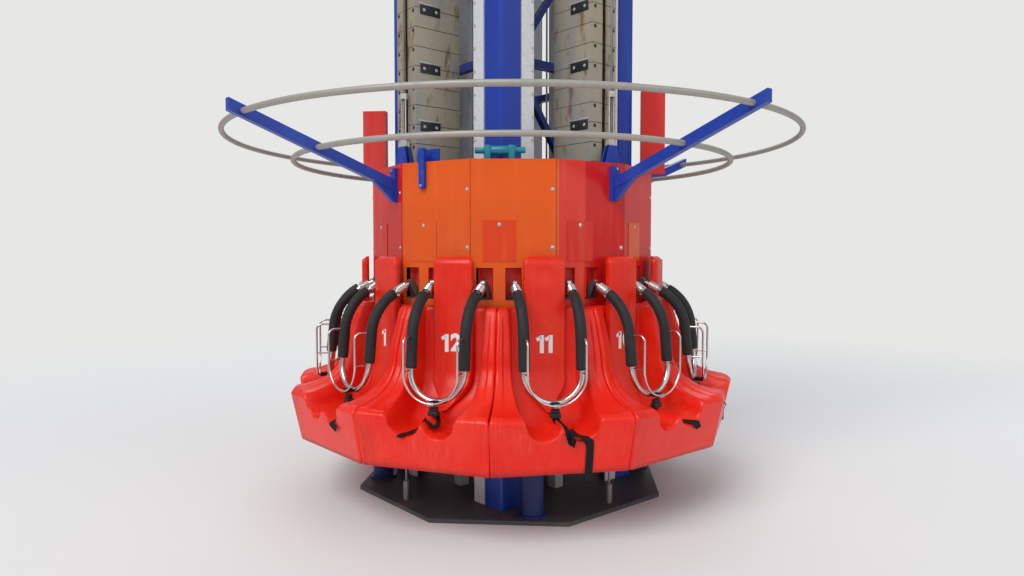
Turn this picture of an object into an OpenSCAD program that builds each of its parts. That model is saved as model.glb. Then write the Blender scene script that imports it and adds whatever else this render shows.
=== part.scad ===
// Drop tower ride: a square lattice tower with a crown ball and a gondola of twelve seats.
// Millimetres, +Z up. The origin is the middle of the base plate's underside, on the deck.
// The front of the ride looks along -Y. An azimuth is counted from the front towards +X,
// and a piece at an azimuth is drawn at the front, with its radius along -Y, and turned.

/* [Base] */
// Distance from the axis to a flat side of the eight-sided base plate
base_r = 1000; // [960:5:1060]
// Thickness of the base plate
base_t = 25; // [20:1:40]
// Diameter of the anchor bolt holes
bolt_d = 28; // [18:1:34]
// Distance of each anchor bolt from both centre lines
bolt_off = 660; // [640:5:680]

/* [Tower] */
// Width of the tower over its corner posts
tower_w = 1200; // [1180:5:1206]
// Side of a square corner post
post_w = 165; // [140:5:180]
// Wall of a corner post
post_wall = 10; // [6:1:14]
// Height of one lattice panel
panel_h = 1220; // [1100:10:1230]
// Number of lattice panels
panels = 24; // [22:1:24]
// Height of the lowest ring of lattice bars
first_bar_z = 350; // [150:10:400]
// Length of post above the highest ring of lattice bars
post_over = 200; // [150:10:400]
// Face width of a guide rail
rail_w = 100; // [80:5:110]
// Thickness of a guide rail
rail_t = 12; // [8:1:16]
// Depth of a guide rail's leg beside the post
rail_leg = 60; // [40:5:70]
// Side of a lattice bar
brace_w = 50; // [40:2:60]
// Side of a lattice diagonal
diagonal_w = 40; // [30:2:50]
// Side of the bar up the middle of each face
center_bar_w = 70; // [50:5:80]
// Wall of the bar up the middle of each face
center_bar_wall = 5; // [3:1:8]

/* [Brakes] */
// Height of the lower end of the brake columns
brake_z = 400; // [350:10:600]
// Length of the brake columns
brake_h = 6600; // [5000:100:8000]
// Width of a brake column
brake_w = 210; // [180:5:220]
// Width of the slot that a brake fin runs in
brake_slot = 34; // [28:1:44]
// Radius of the outer face of a brake column
brake_out = 875; // [850:5:880]
// Thickness of a brake column's edge angles
brake_angle_t = 8; // [6:1:12]
// Thickness of a row of magnets
magnet_t = 30; // [20:1:40]
// Thickness of a brake fin
fin_t = 10; // [6:1:14]

/* [Inner housing] */
// Distance from the axis to a side of the box inside the tower
housing_half = 290; // [240:5:310]
// Height of the box's floor
housing_z = 7600; // [7000:100:9000]
// Height of the box
housing_h = 4400; // [3000:100:5000]

/* [Head] */
// Diameter of the crown ball
ball_d = 1750; // [1500:10:1900]
// Length of the neck under the crown ball
neck_h = 300; // [150:10:600]
// Diameter of the neck under the crown ball
neck_d = 420; // [300:10:500]
// Thickness of the head plate
head_t = 30; // [20:1:50]
// Radius of the basket's ring round the ball
head_ring_r = 960; // [930:5:980]
// Height of the basket's ring above the head plate
basket_h = 840; // [700:10:900]
// Diameter of the basket's tubes
basket_d = 30; // [24:1:36]
// Diameter of the rope sheaves
sheave_d = 552; // [500:2:570]
// Diameter of the hoist ropes
rope_d = 14; // [10:1:16]
// Sideways place of each rope on its tower face
rope_side = 27; // [26:1:30]
// Radius of the ropes' outer run
rope_out = 912; // [908:1:914]

/* [Gondola] */
// Distance from the axis to a corner of the twelve-sided drum
drum_r = 975; // [970:1:985]
// Height of the drum's top edge
drum_top = 2150; // [2100:10:2200]
// Height of the drum's lower edge
drum_z = 450; // [440:5:480]
// Thickness of the drum's skin
drum_t = 4; // [3:1:6]
// Thickness of the carriage's ring plates
ring_plate_t = 12; // [8:1:16]
// Height of the top face of the middle ring plate
mid_plate_z = 1330; // [1310:5:1340]
// Radius of the gondola's rim
rim_r = 1500; // [1470:5:1540]
// Radius of the rim's lower edge
rim_low_r = 1430; // [1400:5:1460]
// Height of the rim's lower edge
rim_low_z = 420; // [400:5:460]
// Height of the rim's upper edge
rim_top_z = 745; // [735:1:765]
// Height where the seat shells meet the drum
shell_top_z = 1285; // [1270:5:1300]
// Radius of the seat shells at their top
shell_top_r = 1085; // [1075:5:1095]
// Thickness of a seat shell
shell_t = 10; // [8:1:12]
// Half width of the hollow in a seat shell
well_half = 205; // [198:1:210]
// Height of the seat pan beside the thighs
pan_z = 715; // [705:1:720]
// Radius of the two thigh hollows
thigh_r = 100; // [92:1:102]
// Sideways place of the thigh hollows
thigh_side = 98; // [90:1:100]
// Width of a seat back
back_w = 246; // [220:2:248]
// Thickness of a seat back
back_t = 50; // [40:1:55]
// Height of a seat back's top
back_top = 1580; // [1560:5:1600]

/* [Hoops] */
// Radius of the pivot of a hoop
pivot_r = 955; // [950:1:960]
// Height of the pivot of a hoop
pivot_z = 1420; // [1412:1:1426]
// Diameter of a pivot pin
pin_d = 20; // [16:1:22]
// Half the distance between the two arms of a hoop
arm_side = 163; // [160:1:165]
// Diameter of a hoop's tube
tube_d = 34; // [28:1:36]
// Diameter of a hoop's handle tube
handle_d = 13; // [10:1:16]
// Outer diameter of a foam sleeve
foam_d = 66; // [58:1:66]
// Radius of the plane that the handles lie in
handle_r = 1345; // [1325:1:1360]

/* [Rings] */
// Radius of the large ring
big_ring_r = 1920; // [1850:5:1960]
// Radius of the small ring
small_ring_r = 1490; // [1420:5:1520]
// Diameter of the ring tubes
ring_tube_d = 34; // [28:1:38]
// Height of the ring arms where they leave the drum
arm_z = 2022; // [1990:5:2040]
// Slope of the ring arms in degrees
arm_slope = 20; // [17:1:23]
// Height of a ring arm's section
arm_h = 64; // [56:1:72]
// Width of a ring arm's section
arm_w = 44; // [36:1:50]

/* [Hidden] */
// Clearance between pieces that seat on each other
seat_gap = 0.3;
// Clearance between moving pieces
run_gap = 6;
seats = 12;
seat_step = 360 / seats;
half_w = tower_w / 2;
post_in = half_w - post_w;
lattice_out = half_w - rail_leg - 2;
lattice_in = lattice_out - brace_w;
last_bar_z = first_bar_z + panels * panel_h;
post_top = last_bar_z + post_over;
head_z = post_top + head_t;
ball_z = head_z + neck_h + ball_d / 2;

module at_azimuth(a) { rotate([0, 0, a]) children(); }
module each_face() { for (k = [0:3]) at_azimuth(90 * k) children(); }
module each_seat() { for (k = [0:seats - 1]) at_azimuth(seat_step * k) children(); }

// A box given by its sides' places: left and right, inner and outer radius, bottom and top.
module block(x0, x1, r0, r1, z0, z1) {
  translate([x0, -r1, z0]) cube([x1 - x0, r1 - r0, z1 - z0]);
}
// A side view, drawn as radius and height, made as wide as w across the azimuth.
module side_prism(points, w) {
  translate([w / 2, 0, 0]) rotate([90, 0, -90]) linear_extrude(w) polygon(points);
}
// A front view, drawn as sideways place and height, from radius r0 out to radius r1.
module front_prism(r0, r1) {
  translate([0, -r0, 0]) rotate([90, 0, 0]) linear_extrude(r1 - r0) children();
}
// A round bar across the azimuth, through a point given as radius and height.
module cross_bar(x0, x1, r, z, d) {
  translate([x0, -r, z]) rotate([0, 90, 0]) cylinder(h = x1 - x0, d = d, $fn = 32);
}
// A twelve-sided prism like the drum, with its corners moved out by grow.
module drum_prism(grow, z0, z1) {
  translate([0, 0, z0]) rotate([0, 0, drum_turn - 90])
    cylinder(h = z1 - z0, r = drum_r + grow, $fn = 12);
}
drum_turn = 5;

// Base
module base_plate() {
  color("dimgray") difference() {
    rotate([0, 0, 22.5]) cylinder(h = base_t, r = base_r / cos(22.5), $fn = 8);
    for (x = [-1, 1], y = [-1, 1])
      translate([x * bolt_off, y * bolt_off, -1]) cylinder(h = base_t + 2, d = bolt_d, $fn = 32);
  }
}
// Tower
post_chamfer = 14;
module corner_posts() {
  c = post_chamfer;
  w = post_w;
  t = post_wall;
  color("royalblue") each_face() translate([post_in, -half_w, base_t])
    linear_extrude(post_top - base_t) difference() {
      polygon([[c, 0], [w - c, 0], [w, c], [w, w - c], [w - c, w], [c, w], [0, w - c], [0, c]]);
      translate([t, t]) square(w - 2 * t);
    }
}
module guide_rails() {
  rail = [[0, 0], [rail_w, 0], [rail_w, -rail_leg], [rail_w - rail_t, -rail_leg],
    [rail_w - rail_t, -rail_t], [0, -rail_t]];
  color("gainsboro") each_face() for (side = [0, 1]) mirror([side, 0, 0])
    translate([post_in - rail_w, -half_w, base_t]) linear_extrude(post_top - base_t)
      mirror([0, 1]) polygon(rail);
}
// One flat side of the lattice: level bars and one diagonal a panel, fused where they meet.
// The top panel has no diagonal, because the rope sheave runs through it.
module lattice_side(first_way) {
  rise = atan(panel_h / (2 * post_in));
  reach = norm([panel_h, 2 * post_in]) + 2 * diagonal_w;
  depth_mid = (lattice_in + lattice_out) / 2;
  color("midnightblue") union() {
    for (k = [0:panels])
      block(-post_in, post_in, lattice_in, lattice_out,
        first_bar_z + k * panel_h - brace_w / 2, first_bar_z + k * panel_h + brace_w / 2);
    for (k = [0:panels - 2]) {
      way = (k % 2 == 0) ? first_way : -first_way;
      intersection() {
        translate([0, -depth_mid, first_bar_z + (k + 0.5) * panel_h]) rotate([0, -way * rise, 0])
          cube([reach, diagonal_w, diagonal_w], center = true);
        block(-post_in, post_in, lattice_in, lattice_out,
          first_bar_z + k * panel_h - 1, first_bar_z + (k + 1) * panel_h + 1);
      }
    }
  }
}
module lattice_front() { lattice_side(1); }
module lattice_right() { at_azimuth(90) lattice_side(1); }
module lattice_rear() { at_azimuth(180) lattice_side(1); }
module lattice_left() { at_azimuth(270) lattice_side(1); }
module center_bars() {
  h = center_bar_w / 2;
  t = center_bar_wall;
  color("darkgray") each_face() difference() {
    block(-h, h, lattice_in - center_bar_w, lattice_in, base_t, bar_top);
    block(-h + t, h - t, lattice_in - center_bar_w + t, lattice_in - t, base_t - 1, bar_top + 1);
  }
}
// Brake columns: two rows of magnets behind edge angles, with a slot between them.
magnet_out = brake_out - 130;
brake_back = 24;
module brake_half() {
  s = brake_slot / 2;
  w = brake_w / 2;
  a = brake_angle_t;
  back = lattice_out + brake_back;
  difference() {
    polygon([[0, lattice_out], [w, lattice_out], [w, brake_out], [s, brake_out],
      [s, brake_out - a], [w - a, brake_out - a], [w - a, magnet_out], [s, magnet_out],
      [s, back], [0, back]]);
    translate([s + magnet_t, back]) square([w - a - s - magnet_t, magnet_out - a - back]);
  }
}
module brake_columns() {
  color("darkkhaki") each_face() translate([0, 0, brake_z]) linear_extrude(brake_h) mirror([0, 1])
    union() {
      brake_half();
      mirror([1, 0]) brake_half();
    }
}
// The closed box inside the tower, on brackets beside the centre bars' middle.
housing_rib = 10;
housing_ribs = 4;
module inner_housing() {
  h = housing_half;
  bracket_z = [0.08, 0.5, 0.92];
  color("darkslateblue") union() {
    translate([-h, -h, housing_z]) cube([2 * h, 2 * h, housing_h]);
    for (k = [0:housing_ribs])
      translate([-h - housing_rib, -h - housing_rib,
          housing_z + k * (housing_h - brace_w) / housing_ribs])
        cube([2 * (h + housing_rib), 2 * (h + housing_rib), brace_w]);
    each_face() for (f = bracket_z)
      block(-center_bar_w / 2, -rope_d / 2, h - 1, lattice_in - center_bar_w,
        housing_z + f * housing_h, housing_z + f * housing_h + 80);
  }
}
// Head
sheave_w = 26;
rope_in = rope_out - sheave_d;
sheave_r = (rope_out + rope_in) / 2;
sheave_z = last_bar_z - 0.28 * panel_h;
// The bars up the middle of the faces end below the sheaves.
bar_top = sheave_z - sheave_d / 2 - 60;
axle_d = 60;
cheek_t = 14;
neck_wall = 12;
// The neck's top edge meets the ball along the neck's bore.
neck_top = ball_z - sqrt(pow(ball_d / 2 + seat_gap, 2) - pow(neck_d / 2 - neck_wall, 2));
module head_frame() {
  cheek_in = rope_side - sheave_w / 2 - seat_gap;
  cheek_out = rope_side + sheave_w / 2 + seat_gap;
  color("royalblue") union() {
    difference() {
      translate([-half_w, -half_w, post_top]) cube([tower_w, tower_w, head_t]);
      translate([0, 0, post_top - 1]) cylinder(h = head_t + 2, d = neck_d / 2, $fn = 48);
    }
    translate([0, 0, head_z - 1]) difference() {
      cylinder(h = neck_top - head_z + 1, d = neck_d, $fn = 96);
      translate([0, 0, -1])
        cylinder(h = neck_top - head_z + 3, d = neck_d - 2 * neck_wall, $fn = 96);
    }
    for (k = [0:3]) at_azimuth(45 + 90 * k)
      side_prism([[neck_d / 2 - 12, head_z - 1], [0.8 * half_w, head_z - 1],
        [neck_d / 2 - 12, head_z + 0.8 * neck_h]], 16);
    each_face() for (x = [cheek_in - cheek_t, cheek_out])
      block(x, x + cheek_t, sheave_r - 40, sheave_r + 40, sheave_z - 60, post_top + 1);
    each_face() block(cheek_in - cheek_t, cheek_out + cheek_t, half_w - 40, sheave_r + 40,
      post_top, post_top + head_t);
    each_face() cross_bar(cheek_in - 1, cheek_out + 1, sheave_r, sheave_z, axle_d - 2 * seat_gap);
  }
}
// The groove is open outwards, so the straight rope leaves it freely.
groove_w = rope_d + 2 * seat_gap;
module head_sheaves() {
  color("gray") each_face() translate([rope_side, -sheave_r, sheave_z]) rotate([0, 90, 0])
    difference() {
      cylinder(h = sheave_w, d = sheave_d + rope_d, center = true, $fn = 96);
      cylinder(h = sheave_w + 2, d = axle_d, center = true, $fn = 48);
      rotate_extrude($fn = 96) translate([sheave_d / 2, 0]) union() {
        circle(d = groove_w, $fn = 32);
        translate([0, -groove_w / 2]) square([rope_d, groove_w]);
      }
      for (k = [0:5]) rotate([0, 0, 60 * k]) translate([sheave_d * 0.3, 0, 0])
        cylinder(h = sheave_w + 2, d = 80, center = true, $fn = 32);
    }
}
socket_d = 40;
socket_h = 120;
module hoist_ropes() {
  color("silver") each_face() union() {
    for (r = [rope_in, rope_out]) {
      translate([rope_side, -r, base_t]) cylinder(h = sheave_z - base_t, d = rope_d, $fn = 16);
      translate([rope_side, -r, base_t]) cylinder(h = socket_h, d = socket_d, $fn = 24);
    }
    translate([rope_side, -sheave_r, sheave_z]) rotate([90, 0, -90])
      rotate_extrude(angle = 180, $fn = 96) translate([sheave_d / 2, 0])
        circle(d = rope_d, $fn = 16);
  }
}
// The basket under the ball: a ring on eight bowed ribs that stand on the head plate.
rib_d = 24;
rib_foot = 60;
rib_foot_t = 26;
basket_z = head_z + basket_h;
// A rib from the ring down to the radius r, upright where it meets the ring
module basket_rib(r) {
  drop = basket_h - rib_foot_t / 2;
  bow = 2 * atan((head_ring_r - r) / drop);
  rib_r = drop / sin(bow);
  translate([0, -(head_ring_r - rib_r), basket_z]) rotate([90, 0, -90]) rotate([0, 0, -bow])
    rotate_extrude(angle = bow, $fn = 96) translate([rib_r, 0])
      circle(d = rib_d, $fn = 24);
  block(-rib_foot / 2, rib_foot / 2, r - rib_foot / 2, r + rib_foot / 2, head_z + seat_gap,
    head_z + rib_foot_t);
}
module head_ring() {
  color("lightgray") union() {
    translate([0, 0, basket_z]) rotate_extrude($fn = 120) translate([head_ring_r, 0])
      circle(d = basket_d, $fn = 24);
    each_face() basket_rib(half_w - rib_foot);
    at_azimuth(45) each_face() basket_rib(half_w * sqrt(2) - rib_foot);
  }
}
module crown_ball() {
  color("gold") translate([0, 0, ball_z]) sphere(d = ball_d, $fn = 96);
}
// Buffers under the gondola
buffer_d = 140;
buffer_r = 915;
buffer_azimuth = 57;
pad_t = 30;
module buffers() {
  top = drum_z - seat_gap;
  color("navy") for (k = [0:3]) at_azimuth(buffer_azimuth + 90 * k) translate([0, -buffer_r, base_t])
    union() {
      cylinder(h = top - base_t - pad_t, d = buffer_d, $fn = 48);
      cylinder(h = top - base_t, d = buffer_d - 30, $fn = 48);
      cylinder(h = 16, d = buffer_d + 40, $fn = 48);
    }
}
// Gondola carriage: three ring plates round the tower on eight struts
slot_half = brake_w / 2 + run_gap + 4;
slot_out = brake_out + run_gap + 4;
strut_side = 290;
strut_w = 50;
roller_side = post_in - rail_w / 2 - 4;
roller_d = 90;
roller_w = 40;
roller_r = half_w + roller_d / 2 + seat_gap;
plate_grow = -(drum_t + seat_gap) / cos(180 / 12);
module ring_plate(z1) {
  hole = half_w + run_gap + 4;
  difference() {
    drum_prism(plate_grow, z1 - ring_plate_t, z1);
    translate([-hole, -hole, z1 - ring_plate_t - 1]) cube([2 * hole, 2 * hole, ring_plate_t + 2]);
    each_face() block(-slot_half, slot_half, half_w, slot_out, z1 - ring_plate_t - 1, z1 + 1);
    each_face() translate([rope_side, -rope_out, z1 - ring_plate_t - 1])
      cylinder(h = ring_plate_t + 2, d = rope_d + 2 * run_gap, $fn = 32);
  }
}
module carriage_frame() {
  r0 = half_w + run_gap + 14;
  r1 = r0 + strut_w;
  color("slategray") union() {
    ring_plate(drum_z + ring_plate_t);
    ring_plate(mid_plate_z);
    ring_plate(drum_top - 2);
    each_face() for (s = [-1, 1])
      block(s * strut_side - strut_w / 2, s * strut_side + strut_w / 2, r0, r1, drum_z,
        drum_top - 2);
    each_face() for (s = [-1, 1], z = roller_levels)
      cross_bar(min(s * strut_side, s * (roller_side + roller_w / 2)),
        max(s * strut_side, s * (roller_side + roller_w / 2)), roller_r, z, roller_axle_d);
  }
}
roller_axle_d = 24;
roller_levels = [drum_z + 220, drum_top - 220];
module guide_rollers() {
  color("black") each_face() for (s = [-1, 1], z = roller_levels)
    translate([s * roller_side, -roller_r, z]) rotate([0, 90, 0]) difference() {
      cylinder(h = roller_w, d = roller_d, center = true, $fn = 48);
      cylinder(h = roller_w + 2, d = roller_axle_d + 2 * seat_gap, center = true, $fn = 32);
    }
}
module brake_fins() {
  color("goldenrod") each_face() difference() {
    block(-fin_t / 2, fin_t / 2, lattice_out + brake_back + 20,
      (drum_r + plate_grow) * cos(15) - 2, drum_z + 60, drum_top - 60);
    ring_slot();
  }
}
// The middle ring plate passes through the fins.
module ring_slot() {
  block(-fin_t, fin_t, slot_out - 1, drum_r, mid_plate_z - ring_plate_t - seat_gap,
    mid_plate_z + seat_gap);
}
// Drum
notch_half = 47;
notch_z = [1322, 1512];
module drum_skin() {
  color("orangered") difference() {
    drum_prism(0, drum_z, drum_top);
    drum_prism(-drum_t / cos(180 / 12), drum_z - 1, drum_top + 1);
    each_seat() for (s = [-1, 1])
      block(s * arm_side - notch_half, s * arm_side + notch_half, drum_r * 0.9, drum_r * 1.1,
        notch_z[0], notch_z[1]);
  }
}
hatch_w = 190;
hatch_z = [1550, 1790];
facet_azimuth = drum_turn + seat_step / 2;
facet_r = drum_r * cos(seat_step / 2);
module hatch_covers() {
  side = facet_r * tan(seat_step / 2 - facet_azimuth);
  color("tomato") each_seat() rotate([0, 0, facet_azimuth])
    block(side - hatch_w / 2, side + hatch_w / 2, facet_r + seat_gap, facet_r + seat_gap + drum_t,
      hatch_z[0], hatch_z[1]);
}
// Pivot brackets: two ears and a pin for each arm, on the middle ring plate.
eye_w = 22;
ear_t = 8;
module pivot_brackets() {
  ear_in = eye_w / 2 + 1.5;
  foot = 62;
  ear = [[pivot_r - foot, mid_plate_z], [pivot_r - 26, mid_plate_z],
    [pivot_r + 14, pivot_z - 18], [pivot_r + 18, pivot_z - 8], [pivot_r + 18, pivot_z + 8],
    [pivot_r + 8, pivot_z + 18], [pivot_r - 8, pivot_z + 18], [pivot_r - foot, mid_plate_z + 30]];
  color("slategray") each_seat() for (s = [-1, 1]) translate([s * arm_side, 0, 0]) union() {
    for (k = [-1, 1]) translate([k * (ear_in + ear_t / 2), 0, 0]) side_prism(ear, ear_t);
    cross_bar(-ear_in - 1, ear_in + 1, pivot_r, pivot_z, pin_d);
    block(-ear_in - 1, ear_in + 1, pivot_r - foot, pivot_r - 26, mid_plate_z, mid_plate_z + 8);
  }
}
// Seat shells: one moulded shell a seat, hollow underneath, with a well and two thigh hollows.
shell_gap = 0.4;
flare_z = 1020;
flare_r = 1150;
flare_steps = 6;
lip_r = 40;
// The shell's outline as radius and height, drawn in by an inset all round.
function shell_outline(inset) = concat(
  [[drum_r - 60, rim_low_z - (inset > 0 ? 1 : 0)], [drum_r - 60, shell_top_z - inset],
   [shell_top_r - inset, shell_top_z - inset]],
  [for (k = [0:flare_steps]) let (a = 90 * k / flare_steps)
    [rim_r - lip_r - inset * (a / 90) - (rim_r - lip_r - flare_r + inset * (1 - a / 90)) * cos(a),
     flare_z - (flare_z - rim_top_z + inset) * sin(a)]],
  [[rim_r - inset, rim_top_z - lip_r * 0.6 - inset * 0.5],
   [rim_low_r - inset, rim_low_z - (inset > 0 ? 1 : 0)]]);
module shell_sector(inset, trim) {
  sweep = seat_step - shell_gap - 2 * trim;
  rotate([0, 0, -90 - sweep / 2]) rotate_extrude(angle = sweep, $fn = 180)
    polygon(shell_outline(inset));
}
back_r = 1000;
thigh_from = back_r + 175;
// The well's back is upright down to one height, bends at the next and ends on the pan.
well_low_z = 930;
well_bend_z = 800;
well_bend = 45;
well_foot = 115;
// The hollow that the rider sits in, moved out all round by grow.
module well(grow) {
  r_far = rim_r + 60;
  z_far = shell_top_z + 60;
  side_prism([[back_r - grow, z_far], [back_r - grow, well_low_z],
    [back_r + well_bend - grow, well_bend_z], [back_r + well_foot - grow, pan_z - grow],
    [r_far, pan_z - grow], [r_far, z_far]],
    2 * (well_half + grow));
  for (s = [-1, 1]) translate([s * thigh_side, -thigh_from, pan_z]) {
    rotate([90, 0, 0]) cylinder(h = r_far - thigh_from, r = thigh_r + grow, $fn = 48);
    sphere(r = thigh_r + grow + weld_step, $fn = 48);
  }
}
module seat_shell() {
  difference() {
    shell_sector(0, 0);
    well(0);
    difference() {
      shell_sector(shell_t, 0.5);
      well(shell_t);
    }
    drum_prism(seat_gap / cos(15), rim_low_z - 10, shell_top_z + 10);
  }
}
module seat_shells() { color("red") each_seat() seat_shell(); }
back_corner = 24;
back_low = 935;
tongue_half = [95, 45, 20];
tongue_z = [800, 740, pan_z];
tongue_r = back_r + 190;
// A seat back runs on down the well's slope as a tongue that narrows towards the crotch.
module back_outline() {
  c = back_corner;
  w = back_w / 2;
  translate([-w, back_low]) square([2 * w, back_top - back_low - c]);
  translate([-w + c, back_top - 2 * c]) square([2 * (w - c), 2 * c]);
  for (s = [-1, 1]) translate([s * (w - c), back_top - c]) circle(r = c, $fn = 32);
  polygon(concat([[-w, back_low + 1], [w, back_low + 1]],
    [for (k = [0:2]) [tongue_half[k], tongue_z[k]]],
    [for (k = [2:-1:0]) [-tongue_half[k], tongue_z[k]]]));
}
module back_profile(w) {
  g = back_r + 1.3 * seat_gap;
  t = back_t;
  side_prism([[g, back_top + 1], [g, well_low_z], [g + well_bend, well_bend_z],
    [g + well_foot, pan_z + seat_gap], [tongue_r, pan_z + seat_gap], [tongue_r, pan_z + 14],
    [back_r + 140, pan_z + 40], [back_r + t + 34, well_bend_z + 30], [back_r + t, well_low_z + 20],
    [back_r + t, back_top + 1]], w);
}
module seat_backs() {
  color("tomato") each_seat() intersection() {
    back_profile(back_w + 2);
    front_prism(back_r - 1, tongue_r + 1) back_outline();
  }
}
// Belt buckles on the ridge between the thigh hollows
buckle_r = 1300;
module belt_buckles() {
  ridge = pan_z - sqrt(max(0, thigh_r * thigh_r - thigh_side * thigh_side));
  color("black") each_seat()
    block(-20, 20, buckle_r - 12, buckle_r + 12, ridge + seat_gap, hoop_low_z - run_gap);
}
// Ring arms and rings
arm_end_r = 2000;
// Half the height of a ring arm's foot plate, and the length of the gusset under the arm
arm_foot = 105;
gusset = 150;
function arm_height(r) = arm_z + (r - drum_r) * tan(arm_slope);
module ring_arms() {
  h = arm_h / cos(arm_slope) / 2;
  color("mediumblue") each_face() difference() {
    union() {
      side_prism([[drum_r - 40, arm_height(drum_r - 40) - h], [arm_end_r, arm_height(arm_end_r) - h],
        [arm_end_r, arm_height(arm_end_r) + h], [drum_r - 40, arm_height(drum_r - 40) + h]], arm_w);
      side_prism([[drum_r - 40, arm_z - arm_foot], [drum_r + 12, arm_z - arm_foot],
        [drum_r + gusset, arm_height(drum_r + gusset) - h + 2],
        [drum_r - 40, arm_height(drum_r - 40)]], arm_w - 8);
      block(-arm_w / 2 - 8, arm_w / 2 + 8, drum_r - 40, drum_r + 8, arm_z - arm_foot,
        arm_z + arm_foot);
    }
    drum_prism(seat_gap / cos(15), arm_z - 200, arm_z + 200);
    for (r = [big_ring_r, small_ring_r])
      cross_bar(-arm_w, arm_w, r, arm_height(r), ring_tube_d + 2 * seat_gap);
  }
}
module gondola_rings() {
  color("lightgray") for (r = [big_ring_r, small_ring_r]) translate([0, 0, arm_height(r)])
    rotate_extrude($fn = 120) translate([r, 0]) circle(d = ring_tube_d, $fn = 24);
}
// Rope lugs: a three-cornered plate with an open turnbuckle round the rope
lug_r = rope_out + rope_d / 2 + run_gap;
lug_h = 150;
lug_t = 9;
buckle_len = 260;
module rope_lugs() {
  z0 = drum_top - 2;
  collar = [rope_side, -rope_out, 0];
  bar = rope_d / 2 + run_gap + 6;
  color("mediumblue") each_face() difference() {
    union() {
      for (r = [lug_r, 2 * rope_out - lug_r - lug_t]) front_prism(r, r + lug_t)
        polygon([[rope_side - 70, z0], [rope_side + 60, z0], [rope_side + 20, z0 + lug_h],
          [rope_side - 20, z0 + lug_h]]);
      for (z = [z0 + lug_h - 30, z0 + lug_h + buckle_len]) translate(collar + [0, 0, z])
        cylinder(h = 34, r = bar + 5, $fn = 32);
      for (s = [-1, 1]) translate(collar + [s * bar, 0, z0 + lug_h - 28])
        cylinder(h = buckle_len + 60, d = 9, $fn = 16);
    }
    translate(collar + [0, 0, z0 - 1])
      cylinder(h = lug_h + buckle_len + 100, r = rope_d / 2 + run_gap, $fn = 32);
  }
  color("mediumblue") for (k = [0, 1]) at_azimuth(180 * k) latch_hook();
}
// A hook over the drum's top edge that holds two of its panels to the carriage
hook_side = -82;
hook_w = 40;
hook_t = 26;
hook_z = [1985, 2230];
module latch_hook() {
  x0 = hook_side - hook_w / 2;
  x1 = hook_side + hook_w / 2;
  r0 = facet_r + seat_gap;
  rotate([0, 0, facet_azimuth]) union() {
    block(x0, x1, r0, r0 + hook_t, hook_z[0] + hook_w / 2, hook_z[1]);
    translate([hook_side, -r0, hook_z[0] + hook_w / 2]) rotate([90, 0, 0])
      cylinder(h = hook_t, d = hook_w, $fn = 32);
    block(x0, x1, r0 - 60, r0 + 1, drum_top + seat_gap, drum_top + 30);
    block(x0 - 60, x1 + 60, r0 - 60, r0 - 45, drum_top + seat_gap, hook_z[1]);
  }
}
// Two upright shields at opposite corners of the tower, edge on to the drum's rim
shield_azimuth = 135;
shield_w = 60;
shield_t = 4;
shield_r = [900, 1065];
shield_top = [2720, 2610];
module drum_shields() {
  w = shield_w / 2;
  t = shield_t;
  color("red") for (k = [0, 1]) at_azimuth(shield_azimuth + 180 * k) difference() {
    block(-w, w, shield_r[0], shield_r[1], drum_top + seat_gap, shield_top[k]);
    block(-w + t, w - t, shield_r[0] + t, shield_r[1] - t, drum_top, shield_top[k] - t);
  }
}
// Hoops: bent tube with an eye at each arm's end, and a thin handle tube in front.
bend_r = 300;
bend_from = 62;
lean = 6;
arm_straight = 136;
leg_straight = 190;
bend_c = [pivot_r + arm_straight * sin(bend_from) - bend_r * cos(bend_from),
  pivot_z - arm_straight * cos(bend_from) - bend_r * sin(bend_from)];
leg_top = bend_c + bend_r * [cos(lean), sin(lean)];
leg_end = leg_top + leg_straight * [sin(lean), -cos(lean)];
hoop_low = leg_end + arm_side * [sin(lean), -cos(lean)];
hoop_low_z = hoop_low[1] - 17;
eye_d = 44;
collar_d = 58;
collar_run = [52, 118];
strap_half = 18;
strap_t = 18;
// A thin neck joins the eye to the tube, which starts beyond the reach of the ears.
eye_neck_d = 22;
eye_neck_end = 30;
tube_start = 28.5;
// The low link of the handle, above the foot of the leg and below the foam sleeve
link_up = 4;
link_d = handle_d - 3;
// A straight run is a hair thinner than its bends and enters them by a little, as a weld does.
weld_step = 0.2;
weld_in = 1;
// A round bar along +Z from the height of from to the height of to
module run(from, to, d, fn = 32) {
  translate([0, 0, from]) cylinder(h = to - from, d = d - weld_step, $fn = fn);
}
module bend(d) {
  translate([0, -bend_c[0], bend_c[1]]) rotate([90, 0, -90]) rotate([0, 0, lean])
    rotate_extrude(angle = bend_from - lean, $fn = 120) translate([bend_r, 0])
      circle(d = d, $fn = 32);
}
module leg(d, length) {
  translate([0, -leg_top[0], leg_top[1]]) rotate([-lean, 0, 0]) run(-length, weld_in, d);
}
module arm_run(from, to, d) {
  translate([0, -pivot_r, pivot_z]) rotate([180 - bend_from, 0, 0]) run(from, to, d);
}
handle_top = leg_top[1] + 6;
handle_bend = 36;
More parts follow.
